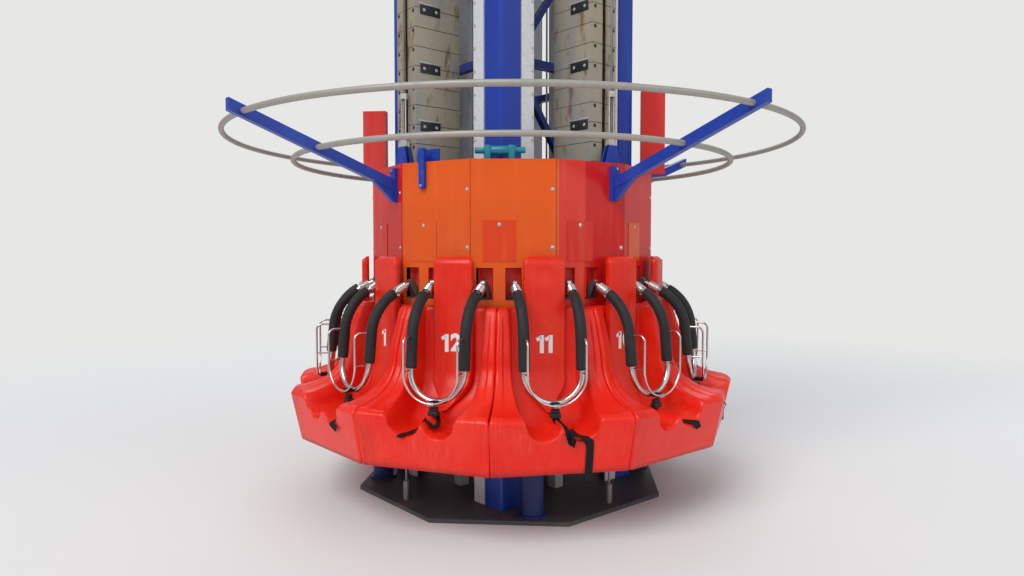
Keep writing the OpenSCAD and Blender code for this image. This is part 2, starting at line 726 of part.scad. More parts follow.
// The level run of the handle, through the foam sleeve to the hoop's tube
module handle_stub(d) {
  translate([0, -(handle_r - handle_bend), handle_top]) rotate([-90, 0, 0])
    run(-weld_in, handle_r - handle_bend - leg_top[0], d, 16);
}
module handle() {
  z0 = leg_end[1];
  for (s = [-1, 1]) translate([s * arm_side, 0, 0]) {
    translate([0, -handle_r, 0])
      run(z0 - weld_in, handle_top - handle_bend + weld_in, handle_d, 16);
    translate([0, -(handle_r - handle_bend), handle_top - handle_bend]) rotate([90, 0, -90])
      rotate_extrude(angle = 90, $fn = 48) translate([handle_bend, 0])
        circle(d = handle_d, $fn = 16);
    handle_stub(handle_d);
    translate([0, -handle_r, z0 + link_up]) rotate([-90, 0, 0])
      run(0, handle_r - leg_end[0], link_d, 16);
  }
  translate([0, -handle_r, z0]) rotate([-90, 0, 0]) rotate_extrude(angle = 180, $fn = 96)
    translate([arm_side, 0]) circle(d = handle_d, $fn = 16);
}
module hoop() {
  color("silver") difference() {
    union() {
      for (s = [-1, 1]) translate([s * arm_side, 0, 0]) {
        cross_bar(-eye_w / 2, eye_w / 2, pivot_r, pivot_z, eye_d);
        arm_run(eye_d / 2 - 6, eye_neck_end, eye_neck_d);
        arm_run(tube_start, arm_straight + weld_in, tube_d);
        arm_run(collar_run[0], collar_run[1], collar_d);
        bend(tube_d);
        leg(tube_d, leg_straight + weld_in);
      }
      translate([0, -leg_end[0], leg_end[1]]) rotate([-lean, 0, 0]) rotate([-90, 0, 0])
        rotate_extrude(angle = 180, $fn = 96) translate([arm_side, 0])
          circle(d = tube_d, $fn = 32);
      handle();
      block(-strap_half, strap_half, hoop_low[0], handle_r, leg_end[1] - arm_side - strap_t / 2,
        leg_end[1] - arm_side + strap_t / 2);
    }
    for (s = [-1, 1]) translate([s * arm_side, 0, 0])
      cross_bar(-eye_w, eye_w, pivot_r, pivot_z, pin_d + 2 * seat_gap);
  }
}
foam_end = 14;
module foam_pair() {
  g = 2 * seat_gap;
  color("dimgray") for (s = [-1, 1]) translate([s * arm_side, 0, 0]) difference() {
    union() {
      bend(foam_d);
      leg(foam_d, leg_straight - foam_end);
    }
    bend(tube_d + g);
    leg(tube_d + g, leg_straight);
    arm_run(60, arm_straight + weld_in, tube_d + g);
    handle_stub(handle_d + g);
  }
}
// A seat's number counts clockwise from the front, seen from above.
module at_seat(number) { at_azimuth(-seat_step * (number - 1)) children(); }

base_plate();
corner_posts();
guide_rails();
lattice_front();
lattice_right();
lattice_rear();
lattice_left();
center_bars();
brake_columns();
inner_housing();
head_frame();
head_sheaves();
hoist_ropes();
head_ring();
crown_ball();
buffers();
carriage_frame();
guide_rollers();
brake_fins();
drum_skin();
hatch_covers();
pivot_brackets();
seat_shells();
seat_backs();
belt_buckles();
ring_arms();
gondola_rings();
rope_lugs();
drum_shields();
at_seat(1) hoop();  // hoop_01
at_seat(2) hoop();  // hoop_02
at_seat(3) hoop();  // hoop_03
at_seat(4) hoop();  // hoop_04
at_seat(5) hoop();  // hoop_05
at_seat(6) hoop();  // hoop_06
at_seat(7) hoop();  // hoop_07
at_seat(8) hoop();  // hoop_08
at_seat(9) hoop();  // hoop_09
at_seat(10) hoop();  // hoop_10
at_seat(11) hoop();  // hoop_11
at_seat(12) hoop();  // hoop_12
at_seat(1) foam_pair();  // foam_01
at_seat(2) foam_pair();  // foam_02
at_seat(3) foam_pair();  // foam_03
at_seat(4) foam_pair();  // foam_04
at_seat(5) foam_pair();  // foam_05
at_seat(6) foam_pair();  // foam_06
at_seat(7) foam_pair();  // foam_07
at_seat(8) foam_pair();  // foam_08
at_seat(9) foam_pair();  // foam_09
at_seat(10) foam_pair();  // foam_10
at_seat(11) foam_pair();  // foam_11
at_seat(12) foam_pair();  // foam_12
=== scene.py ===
# %% [markdown]
# # A drop tower ride, dressed
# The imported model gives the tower, the gondola and the lap hoops as fixed solids. This lesson
# adds what a maker's eye would miss on them: soft moulded shells, foam sleeves, webbing, bolts,
# numbers, and a finish for every surface.

# %% Load the frame
import math
import bmesh
import bpy
from mathutils import Matrix, Vector


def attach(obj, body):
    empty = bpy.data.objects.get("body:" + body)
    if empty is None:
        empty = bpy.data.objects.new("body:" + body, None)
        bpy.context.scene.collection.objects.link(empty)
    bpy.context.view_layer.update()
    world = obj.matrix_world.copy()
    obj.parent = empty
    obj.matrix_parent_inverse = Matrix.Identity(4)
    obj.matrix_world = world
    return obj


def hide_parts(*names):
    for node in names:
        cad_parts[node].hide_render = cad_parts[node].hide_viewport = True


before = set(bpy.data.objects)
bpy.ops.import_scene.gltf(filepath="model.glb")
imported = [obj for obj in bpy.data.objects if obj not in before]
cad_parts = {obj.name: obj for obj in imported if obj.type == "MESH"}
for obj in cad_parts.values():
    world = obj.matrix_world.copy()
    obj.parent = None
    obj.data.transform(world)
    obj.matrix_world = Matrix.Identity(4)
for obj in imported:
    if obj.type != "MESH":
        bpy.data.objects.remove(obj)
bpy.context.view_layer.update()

# %% [markdown]
# ## Directions and sizes
# The ride is round, so every place is given in the way its maker would give it: an azimuth from
# the front towards +X, a distance out from the axis, a distance sideways, and a height.
# Sizes are in metres and repeat the ones that the solids were made from.

# %% Sizes of the ride
SEATS, FACES = 12, 4
SEAT_STEP = math.tau / SEATS
STEP_DEGREES, DRUM_TURN_DEGREES = 360 / SEATS, 5
PIVOT_R, PIVOT_Z = 0.955, 1.420
ARM_SIDE = 0.163
DRUM_R = 0.975
FACET_R = DRUM_R * math.cos(SEAT_STEP / 2)
FACET_AZIMUTH = math.radians(DRUM_TURN_DEGREES) + SEAT_STEP / 2
RIM_FACE_R = 1.46


def place(azimuth, side, out, up):
    """The point at that azimuth, sideways and outward distance, and height."""
    s, c = math.sin(azimuth), math.cos(azimuth)
    return Vector((side * c + out * s, side * s - out * c, up))


def seat_azimuth(number):
    """Seats count clockwise from the front, seen from above."""
    return -SEAT_STEP * (number - 1)


SEAT_AZIMUTHS = [seat_azimuth(k + 1) for k in range(SEATS)]
FACE_AZIMUTHS = [k * math.tau / FACES for k in range(FACES)]
print("seat 11 is at", [round(v, 3) for v in place(seat_azimuth(11), 0, 1.5, 0.75)])

# %% [markdown]
# ## Making a piece
# A bmesh is shaped first at the front of the ride and then turned to its seat or face, so that
# the object itself stays at the origin, unturned, with its place in its mesh.

# %% From bmesh to piece
def turned(mesh, azimuth):
    """The same bmesh, turned about the tower's axis."""
    bmesh.ops.rotate(mesh, verts=mesh.verts, cent=(0, 0, 0), matrix=Matrix.Rotation(azimuth, 3, "Z"))
    return mesh


def add_copy(target, source, matrix):
    """Puts a copy of one bmesh into another, moved by a matrix."""
    data = bpy.data.meshes.new("copy")
    source.to_mesh(data)
    data.transform(matrix)
    target.from_mesh(data)
    bpy.data.meshes.remove(data)


def add_part(target, part, matrix=Matrix.Identity(4)):
    """Moves one bmesh into another, which frees it."""
    add_copy(target, part, matrix)
    part.free()


def repeated(source, azimuths):
    """A copy of one bmesh at each azimuth round the tower's axis. The one that is copied goes."""
    whole = bmesh.new()
    for azimuth in azimuths:
        add_copy(whole, source, Matrix.Rotation(azimuth, 4, "Z"))
    source.free()
    return whole


def placed_grid(columns, rows, point):
    """A grid whose every point is placed by a function of its column and row."""
    mesh = bmesh.new()
    bmesh.ops.create_grid(mesh, x_segments=columns, y_segments=rows, size=1)
    for v in mesh.verts:
        v.co = point(round((v.co.x + 1) / 2 * columns), round((v.co.y + 1) / 2 * rows))
    return mesh


def in_scene(name, data):
    """A new object at the origin of the scene."""
    made = bpy.data.objects.new(name, data)
    bpy.context.scene.collection.objects.link(made)
    return made


def make_piece(name, mesh, material, body, smooth=True):
    """A finished object from a bmesh, riding on a body of the frame."""
    bmesh.ops.recalc_face_normals(mesh, faces=mesh.faces)
    data = bpy.data.meshes.new(name)
    mesh.to_mesh(data)
    mesh.free()
    data.materials.append(material)
    piece = in_scene(name, data)
    if smooth:
        data.shade_smooth()
    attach(piece, body)
    return piece


def sharpen(piece, degrees=35):
    """Keeps the edges above an angle sharp on a piece that is shaded smooth."""
    piece.data.set_sharp_from_angle(angle=math.radians(degrees))


print("helpers ready")

# %% [markdown]
# ## Shader sums as Python
# A finish is a sum of patterns. Wrapping each socket in a small class lets the sums be written
# as ordinary Python, and each operator adds its Math node.

# %% Terms and finishes
class Term:
    """An output socket that takes part in sums."""

    def __init__(self, finish, socket):
        self.finish, self.socket = finish, socket

    def sum(self, operation, *inputs):
        return self.finish.math(operation, *inputs)

    def __add__(self, other): return self.sum("ADD", self, other)
    def __radd__(self, other): return self.sum("ADD", other, self)
    def __sub__(self, other): return self.sum("SUBTRACT", self, other)
    def __rsub__(self, other): return self.sum("SUBTRACT", other, self)
    def __mul__(self, other): return self.sum("MULTIPLY", self, other)
    def __rmul__(self, other): return self.sum("MULTIPLY", other, self)
    def __truediv__(self, other): return self.sum("DIVIDE", self, other)
    def __gt__(self, other): return self.sum("GREATER_THAN", self, other)
    def __mod__(self, other): return self.sum("FLOORED_MODULO", self, other)
    def __pow__(self, other): return self.sum("POWER", self, other)
    def __abs__(self): return self.sum("ABSOLUTE", self)


class Finish:
    """One material and the few ways in which its nodes are made."""

    def __init__(self, name, colour=(0.5, 0.5, 0.5), **shader):
        self.material = bpy.data.materials.new(name)
        self.material.use_nodes = True
        self.tree = self.material.node_tree
        self.shader = self.tree.nodes["Principled BSDF"]
        self.shader.inputs["Base Color"].default_value = (*colour, 1)
        for socket, value in shader.items():
            self.shader.inputs[socket.replace("_", " ")].default_value = value

    def node(self, kind, settings=None, inputs=None):
        """Adds a node: its settings first, then the values or links of its sockets."""
        made = self.tree.nodes.new(kind)
        for name, value in (settings or {}).items():
            setattr(made, name, value)
        for name, value in (inputs or {}).items():
            self.feed(made.inputs[name], value)
        return made

    def feed(self, socket, value):
        """Links a term or socket to a socket, or sets the socket's own value."""
        value = value.socket if isinstance(value, Term) else value
        if isinstance(value, bpy.types.NodeSocket):
            self.tree.links.new(value, socket)
        elif isinstance(value, tuple) and len(value) == 3 and socket.type == "RGBA":
            socket.default_value = (*value, 1)
        else:
            socket.default_value = value

    def math(self, operation, *inputs):
        made = self.node("ShaderNodeMath", {"operation": operation}, dict(enumerate(inputs)))
        return Term(self, made.outputs[0])

    def position(self):
        """Object coordinates, as a socket and as three terms."""
        here = self.node("ShaderNodeTexCoord").outputs["Object"]
        parts = self.node("ShaderNodeSeparateXYZ", inputs={0: here})
        return here, *(Term(self, parts.outputs[i]) for i in range(3))

    def azimuth_share(self):
        """The azimuth of the surface as 0 to 1, from the front towards +X."""
        _, x, y, _ = self.position()
        return (self.math("ARCTAN2", x, y * -1.0) / math.tau + 1.0) % 1.0

    def rolled_out(self, radius):
        """A place on a round wall as if it were rolled out flat: distance round it, and height."""
        _, x, y, z = self.position()
        angle = self.math("ARCTAN2", x, y * -1.0)
        return self.node("ShaderNodeCombineXYZ", inputs={"X": angle * radius, "Z": z}).outputs[0]

    def noise(self, size, detail=4, stretch=(1, 1, 1), here=None):
        """Cloudy noise whose lumps are about size metres across, longer along a stretched axis."""
        here = here or self.position()[0]
        scaled = self.node("ShaderNodeMapping", inputs={0: here, "Scale": tuple(1 / s for s in stretch)})
        made = self.node("ShaderNodeTexNoise", inputs={"Vector": scaled.outputs[0],
            "Scale": 1 / size, "Detail": detail, "Roughness": 0.55})
        return Term(self, made.outputs["Fac"])

    def between(self, value, low, high):
        """0 below low, 1 above high and a smooth way from one to the other."""
        made = self.node("ShaderNodeMapRange", {"interpolation_type": "SMOOTHSTEP"},
            {"Value": value, "From Min": low, "From Max": high})
        return Term(self, made.outputs[0])

    def mix(self, mask, under, over):
        """One colour over another, by a mask."""
        made = self.node("ShaderNodeMix", {"data_type": "RGBA"})
        for socket, value in ((0, mask), (6, under), (7, over)):
            self.feed(made.inputs[socket], value)
        return made.outputs[2]

    def steps(self, value, stops):
        """A ramp of flat steps: pairs of a place from 0 to 1 and a colour."""
        made = self.node("ShaderNodeValToRGB", inputs={0: value})
        ramp = made.color_ramp
        ramp.interpolation = "CONSTANT"
        while len(ramp.elements) < len(stops):
            ramp.elements.new(0.5)
        for element, (spot, colour) in zip(ramp.elements, stops):
            element.position = spot
            element.color = (*colour, 1)
        return made.outputs[0]

    def set(self, **values):
        """Feeds the shader's own sockets."""
        for name, value in values.items():
            self.feed(self.shader.inputs[name.replace("_", " ")], value)

    def bump(self, height, distance):
        """Raises the surface by a height from 0 to 1 times distance metres."""
        made = self.node("ShaderNodeBump",
            inputs={"Height": height, "Distance": distance, "Strength": 1.0})
        self.feed(self.shader.inputs["Normal"], made.outputs[0])
        return self


print("finish class ready")

# %% [markdown]
# ## Moulded red shells
# The shells are gel-coated moulding: glossy, a little faded where riders rub them, with chalky
# streaks that run down and dirt in the low places. The streaks are noise stretched along Z.

# %% The shell's finish
def shell_finish(name, colour, faded, deep):
    f = Finish(name, colour, Coat_Weight=0.12, Coat_Roughness=0.18, Specular_IOR_Level=0.32)
    _, _, _, z = f.position()
    streaks = f.between(f.noise(0.03, 5, (1, 1, 9)), 0.48, 0.75)
    wall = f.rolled_out(RIM_FACE_R)
    chalk = f.between(f.noise(0.007, 2, (1, 1, 24), here=wall), 0.48, 0.70)
    chalk = chalk * f.between(f.noise(0.20, 3, here=wall), 0.46, 0.62) * (1.0 - f.between(z, 0.70, 0.78))
    clouds = f.between(f.noise(0.28, 4), 0.42, 0.68)
    grime = f.between(f.noise(0.09, 6, (1, 1, 2)), 0.60, 0.78)
    tone = f.mix(clouds * 0.55, colour, faded)
    tone = f.mix(streaks * 0.35, tone, faded)
    past_seam = (f.azimuth_share() * 360.0) % STEP_DEGREES - STEP_DEGREES / 2
    beside = f.between(past_seam, 0.4, 0.8) * (1.0 - f.between(past_seam, 3.2, 4.8))
    beside = beside * (1.0 - f.between(z, 0.72, 0.82))
    lines = f.between(f.noise(0.0045, 1, (1, 1, 60), here=wall), 0.44, 0.60)
    drips = lines * beside * f.between(f.noise(0.5, 1, here=wall), 0.40, 0.58)
    tone = f.mix(chalk * 0.35, tone, (0.84, 0.17, 0.11))
    tone = f.mix(drips * 0.55, tone, deep)
    tone = f.mix(grime * 0.30, tone, deep)
    f.set(Base_Color=tone, Roughness=0.30 + clouds * 0.14 + grime * 0.12)
    return f.bump(f.noise(0.012, 3) * 0.5 + f.noise(0.09, 2) - drips, 0.0012).material


RED, RED_FADED, RED_DEEP = (0.84, 0.014, 0.004), (0.88, 0.046, 0.018), (0.46, 0.006, 0.004)
red_shell = shell_finish("red_shell", RED, RED_FADED, RED_DEEP)
red_panel = shell_finish("red_panel", (0.80, 0.020, 0.006), (0.85, 0.060, 0.026), RED_DEEP)
print("shell finishes:", red_shell.name, red_panel.name)

# %% [markdown]
# ## Painted metal
# The drum is sheet metal in flat facets, in tones from orange to a deep red. The tones are partly the
# facets' own paint and partly painted light and shade, since each flat facet meets the light at its own
# angle; the step at 77 degrees, inside one facet, is painted light and shade only.
# The tone is picked by the azimuth of the surface, so one finish serves the whole drum.

# %% The drum's finish
ORANGE, RED_ORANGE, WARM_RED = (0.80, 0.105, 0.008), (0.76, 0.055, 0.008), (0.76, 0.034, 0.016)
DEEP_RED, SIGNAL_RED = (0.62, 0.007, 0.005), (0.70, 0.016, 0.008)
# Azimuths of the steps in degrees, each with its tone: partly the sheets' own paint, partly painted light
# and shade of flat facets that face the light at different angles. The step at 77 degrees lies inside one
# facet and is painted light and shade only.
DRUM_PAINT_AND_SHADE_TONES = [(0, SIGNAL_RED), (5, ORANGE), (65, WARM_RED), (77, DEEP_RED), (95, SIGNAL_RED),
    (125, ORANGE), (185, SIGNAL_RED), (215, ORANGE), (275, DEEP_RED), (305, ORANGE), (335, SIGNAL_RED)]
HATCH_TONES = [(0, ORANGE), (30, RED_ORANGE), (60, SIGNAL_RED), (90, ORANGE), (120, SIGNAL_RED),
    (150, ORANGE), (180, RED_ORANGE), (240, ORANGE), (300, SIGNAL_RED)]
BLUE, BLUE_WORN = (0.012, 0.045, 0.36), (0.035, 0.10, 0.47)
LUG_PLATE_TOP = 2.262


def drum_finish(name, tones):
    """Sheets in steps of tone round the drum: pairs of an azimuth in degrees and a colour. On the drum the
    steps are partly the sheets' paint and partly painted light and shade.
    """
    f = Finish(name, ORANGE, Coat_Weight=0.15, Coat_Roughness=0.10, Specular_IOR_Level=0.35)
    share = f.azimuth_share()
    tone = f.steps(share, [(degrees / 360, colour) for degrees, colour in tones])
    half_step = STEP_DEGREES / 2
    from_seam = abs((share * 360 - DRUM_TURN_DEGREES + half_step) % STEP_DEGREES - half_step)
    seam = 1.0 - f.between(from_seam, 0.08, 0.22)
    streaks = f.between(f.noise(0.05, 5, (1, 1, 12)), 0.50, 0.78)
    dust = f.between(f.noise(0.4, 5), 0.45, 0.75)
    tone = f.mix(streaks * 0.22, tone, (0.86, 0.20, 0.07))
    tone = f.mix(dust * 0.16, tone, (0.45, 0.05, 0.02))
    tone = f.mix(seam * 0.65, tone, (0.12, 0.012, 0.008))
    f.set(Base_Color=tone, Roughness=0.24 + dust * 0.12)
    return f.bump(f.noise(0.35, 2) + f.noise(0.02, 2) * 0.06 - seam * 0.15, 0.004).material


def paint_finish(name, colour, worn, roughness=0.32, coat=0.12):
    """Sprayed or brushed paint on steel, with faded patches and runs of dirt."""
    f = Finish(name, colour, Coat_Weight=coat, Coat_Roughness=0.2, Specular_IOR_Level=0.35)
    faded = f.between(f.noise(0.25, 5, (1, 1, 6)), 0.45, 0.72)
    specks = f.between(f.noise(0.018, 5), 0.66, 0.74)
    tone = f.mix(faded * 0.5, colour, worn)
    tone = f.mix(specks * 0.5, tone, tuple(c * 0.25 for c in colour))
    f.set(Base_Color=tone, Roughness=roughness + faded * 0.15 + specks * 0.2)
    return f.bump(f.noise(0.015, 3) + f.noise(0.2, 2), 0.0008).material


def lug_finish(name):
    """Blue paint below, and bare turnbuckles above the plates."""
    f = Finish(name, BLUE, Specular_IOR_Level=0.4)
    _, _, _, z = f.position()
    bare = z > LUG_PLATE_TOP
    worn = f.between(f.noise(0.04, 5), 0.48, 0.7)
    tone = f.mix(worn * 0.4, BLUE, BLUE_WORN)
    metal = f.mix(worn * 0.5, (0.62, 0.60, 0.55), (0.28, 0.20, 0.13))
    f.set(Base_Color=f.mix(bare, tone, metal), Metallic=bare * 0.5, Roughness=0.36 + worn * 0.15)
    return f.material


# The drum's steps of tone are partly painted light and shade of its facets.
drum_paint_and_shade = drum_finish("drum_paint_and_shade", DRUM_PAINT_AND_SHADE_TONES)
lug_paint = lug_finish("lug_paint")
hatch_paint = drum_finish("hatch_paint", HATCH_TONES)
blue_paint = paint_finish("blue_paint", BLUE, BLUE_WORN)
lattice_paint = paint_finish("lattice_paint", (0.010, 0.025, 0.16), (0.05, 0.08, 0.24), 0.4, 0.2)
housing_paint = paint_finish("housing_paint", (0.010, 0.022, 0.12), (0.03, 0.05, 0.2), 0.45, 0.1)
dark_steel = paint_finish("dark_steel", (0.06, 0.063, 0.07), (0.16, 0.13, 0.10), 0.5, 0.0)
red_paint = paint_finish("red_paint", (0.74, 0.03, 0.02), (0.82, 0.12, 0.09), 0.35, 0.2)
print("paints ready")

# %% [markdown]
# ## Bare and coated metal
# Galvanised steel shows pale crystals, the brake columns are dull and streaked with rust, the
# hoops are polished stainless tube, and the ropes are twisted strands.

# %% Metals
def galvanised_finish(name, colour, rust=0.25, metallic=0.55):
    f = Finish(name, colour, Metallic=metallic)
    here = f.position()[0]
    cells = f.node("ShaderNodeTexVoronoi", inputs={"Vector": here, "Scale": 55.0})
    spangle = Term(f, cells.outputs["Distance"])
    stains = f.between(f.noise(0.09, 6, (1, 1, 7)), 0.56, 0.74)
    tone = f.mix(spangle * 0.6, colour, tuple(c * 0.72 for c in colour))
    tone = f.mix(stains * rust, tone, (0.20, 0.085, 0.03))
    f.set(Base_Color=tone, Roughness=0.42 + spangle * 0.12 + stains * 0.25)
    return f.bump(f.noise(0.03, 4), 0.0008).material


def brake_finish(name, pitch=0.12, flange_out=0.874):
    """Stacked blocks with a joint at every pitch, gone dull, beige and rusty."""
    f = Finish(name, (0.36, 0.34, 0.30), Metallic=0.35)
    _, x, y, z = f.position()
    flange = f.math("MAXIMUM", abs(x), abs(y)) > flange_out
    from_joint = abs((z / pitch) % 1.0 - 0.5)
    joint = f.between(from_joint, 0.478, 0.490)
    beige = f.between(f.noise(0.22, 6, (1, 1, 4)), 0.42, 0.62)
    rust = f.between(f.noise(0.07, 7, (1, 1, 3)), 0.54, 0.70)
    tone = f.mix(beige, (0.36, 0.35, 0.33), (0.46, 0.40, 0.29))
    tone = f.mix(flange * 0.45, tone, (0.42, 0.33, 0.20))
    tone = f.mix(rust * 0.75, tone, (0.16, 0.062, 0.022))
    tone = f.mix(joint * 0.85, tone, (0.03, 0.02, 0.015))
    f.set(Base_Color=tone, Roughness=0.5 + rust * 0.35)
    return f.bump(f.noise(0.02, 5) - joint, 0.0025).material


def steel_finish(name, colour, roughness, metallic=1.0):
    f = Finish(name, colour, Metallic=metallic)
    lines = f.noise(0.004)
    smears = f.between(f.noise(0.05, 4), 0.5, 0.75)
    tone = f.mix(smears * 0.35, colour, tuple(c * 0.7 for c in colour))
    f.set(Base_Color=tone, Roughness=roughness + lines * 0.10 + smears * 0.12)
    return f.bump(lines, 0.0002).material


def rope_finish(name, lay=0.012):
    """Six strands laid round each other: a stripe that climbs as it goes round the rope."""
    f = Finish(name, (0.30, 0.29, 0.27), Metallic=0.8)
    _, x, y, z = f.position()
    stripe = abs(((z + x + y) / lay) % 1.0 - 0.5) * 2.0
    grease = f.between(f.noise(0.3, 4, (1, 1, 5)), 0.45, 0.7)
    tone = f.mix(stripe, (0.12, 0.11, 0.10), (0.42, 0.41, 0.39))
    tone = f.mix(grease * 0.5, tone, (0.10, 0.08, 0.06))
    f.set(Base_Color=tone, Roughness=0.35 + grease * 0.3)
    return f.bump(stripe, 0.0012).material


galvanised = galvanised_finish("galvanised", (0.60, 0.61, 0.62))
rail_metal = galvanised_finish("rail_metal", (0.82, 0.83, 0.85), 0.15, 0.15)
ring_metal = steel_finish("ring_metal", (0.40, 0.375, 0.33), 0.42, metallic=0.25)
brake_metal = brake_finish("brake_metal")
stainless = steel_finish("stainless", (0.66, 0.65, 0.63), 0.14)
zinc = steel_finish("zinc", (0.62, 0.62, 0.60), 0.30)
cream_bolts = paint_finish("cream_bolts", (0.60, 0.56, 0.45), (0.42, 0.34, 0.22), 0.45, 0.0)
fin_metal = steel_finish("fin_metal", (0.52, 0.33, 0.17), 0.34)
rope_steel = rope_finish("rope_steel")
print("metals ready")

# %% [markdown]
# ## Black and gold
# Foam sleeves are closed-cell tube with a fine skin, the webbing is woven nylon, and the crown
# ball is gold panels with a joint every few degrees.

# %% Soft blacks and the gold ball
def foam_finish(name):
    f = Finish(name, (0.018, 0.018, 0.019), Sheen_Weight=0.08, Specular_IOR_Level=0.35)
    pores = f.noise(0.0022, 3)
    scuffs = f.between(f.noise(0.05, 6, (1, 1, 3)), 0.56, 0.74)
    tone = f.mix(scuffs * 0.5, (0.013, 0.014, 0.015), (0.050, 0.052, 0.055))
    f.set(Base_Color=tone, Roughness=0.58 + scuffs * 0.2)
    return f.bump(pores + f.noise(0.03, 3) * 0.8, 0.0010).material


def webbing_finish(name, rib=0.0035):
    f = Finish(name, (0.008, 0.008, 0.009), Specular_IOR_Level=0.25)
    _, x, y, z = f.position()
    ribs = abs(((x + y + z * 1.7) / rib) % 1.0 - 0.5) * 2.0
    tone = f.mix(ribs, (0.004, 0.004, 0.005), (0.016, 0.016, 0.018))
    f.set(Base_Color=tone, Roughness=0.75)
    return f.bump(ribs, 0.0006).material


def ball_finish(name, panels=24, band=0.29):
    """Gold panels: so many round the ball, in bands of one height."""
    f = Finish(name, (0.72, 0.45, 0.10), Metallic=0.6)
    _, _, _, z = f.position()
    meridian = abs((f.azimuth_share() * panels) % 1.0 - 0.5)
    joint = f.between(meridian, 0.485, 0.495)
    level = f.between(abs((z / band) % 1.0 - 0.5), 0.485, 0.495)
    lines = f.math("MAXIMUM", joint, level)
    patina = f.between(f.noise(0.35, 5), 0.42, 0.68)
    tone = f.mix(patina * 0.6, (0.80, 0.50, 0.11), (0.60, 0.35, 0.07))
    tone = f.mix(lines * 0.8, tone, (0.10, 0.05, 0.015))
    f.set(Base_Color=tone, Roughness=0.30 + patina * 0.10)
    return f.bump(f.noise(0.30, 2) * 0.5 - lines * 0.5, 0.004).material


black_foam = foam_finish("black_foam")
webbing = webbing_finish("webbing")
gold = ball_finish("gold_panels")
black_rubber = paint_finish("black_rubber", (0.02, 0.02, 0.02), (0.05, 0.05, 0.05), 0.65, 0.0)
# Black plastic; the same finish also paints the shade of the flange holes.
black_plastic = paint_finish("black_plastic", (0.02, 0.02, 0.022), (0.04, 0.04, 0.042), 0.38, 0.1)
number_paint = paint_finish("number_paint", (0.88, 0.88, 0.86), (0.80, 0.70, 0.66), 0.4, 0.0)
print("blacks and gold ready")

# %% [markdown]
# ## Finishes for the solids
# Each solid that keeps its own shape gets its finish here, by the name of its node.

# %% Dress the solids
NODE_FINISH = {"base_plate": dark_steel, "corner_posts": blue_paint, "guide_rails": rail_metal,
    "center_bars": galvanised, "brake_columns": brake_metal, "inner_housing": housing_paint,
    "head_frame": blue_paint, "head_sheaves": dark_steel, "hoist_ropes": rope_steel,
    "head_ring": ring_metal, "crown_ball": gold, "buffers": housing_paint,
    "carriage_frame": dark_steel, "guide_rollers": black_rubber, "brake_fins": fin_metal,
    "drum_skin": drum_paint_and_shade, "hatch_covers": hatch_paint, "pivot_brackets": dark_steel,
    "seat_shells": red_shell, "seat_backs": red_panel, "belt_buckles": black_plastic,
    "ring_arms": blue_paint, "gondola_rings": ring_metal, "rope_lugs": lug_paint,
    "drum_shields": red_paint}


def finish_of(node):
    if node.startswith("lattice"):
        return lattice_paint
    if node.startswith("hoop"):
        return stainless
    if node.startswith("foam"):
        return black_foam
    return NODE_FINISH[node]


for node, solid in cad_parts.items():
    solid.data.materials.clear()
    solid.data.materials.append(finish_of(node))
print("dressed", len(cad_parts), "solids")

# %% [markdown]
# ## The seat shells
# Each seat is one soft moulding. Its outside is a bell, and the well for the rider is pressed
# into it. A flat grid is laid over both: every point is a mix of a point on the bell's side view
# and one on the well's, so the edges between them come out rounded, as from a mould.

# %% Side views of bell and well
RIM_R, RIM_LOW_R, RIM_LOW_Z = 1.497, 1.43, 0.424
FLARE_R, FLARE_Z, LIP_Z = 1.15, 1.02, 0.747
PAN_Z = 0.715
WELL_HALF, WALL = 0.205, 0.018
THIGH_R, THIGH_SIDE = 0.100, 0.098
SHELL_T = 0.009


def flare(angle):
    """A point of the bell's hollow curve, from upright at 0 to level at 90 degrees."""
    a = math.radians(angle)
    out = RIM_FACE_R - (RIM_FACE_R - FLARE_R) * math.cos(a)
    return out, FLARE_Z - (FLARE_Z - LIP_Z) * math.sin(a)


# Each pair is a place from 0 at the top to 1 at the rim's foot, and the point there: out and up.
BELL = [(0.00, (0.962, 1.284)), (0.05, (1.045, 1.283)), (0.08, (1.074, 1.270)), (0.11, (1.086, 1.235)),
    (0.30, (1.118, 1.130)), (0.42, flare(0)), (0.50, flare(18)), (0.58, flare(38)), (0.66, flare(58)),
    (0.76, flare(80)), (0.83, (1.462, 0.742)), (0.87, (1.488, 0.722)), (0.90, (1.495, 0.690)),
    (1.00, (RIM_LOW_R, RIM_LOW_Z))]
WELL = [(0.00, (0.962, 1.284)), (0.05, (0.982, 1.283)), (0.08, (0.996, 1.270)), (0.11, (0.999, 1.235)),
    (0.30, (0.999, 1.060)), (0.42, (1.001, 0.935)), (0.50, (1.018, 0.860)), (0.58, (1.050, 0.785)),
    (0.66, (1.105, 0.728)), (0.76, (1.26, PAN_Z)), (0.83, (1.440, PAN_Z - 0.003)),
    (0.87, (1.484, 0.698)), (0.90, (1.490, 0.672)), (1.00, (RIM_LOW_R, RIM_LOW_Z))]


def smooth(x, low, high):
    """0 below low, 1 above high and a smooth way between, as a number."""
    t = min(max((x - low) / (high - low), 0), 1)
    return t * t * (3 - 2 * t)


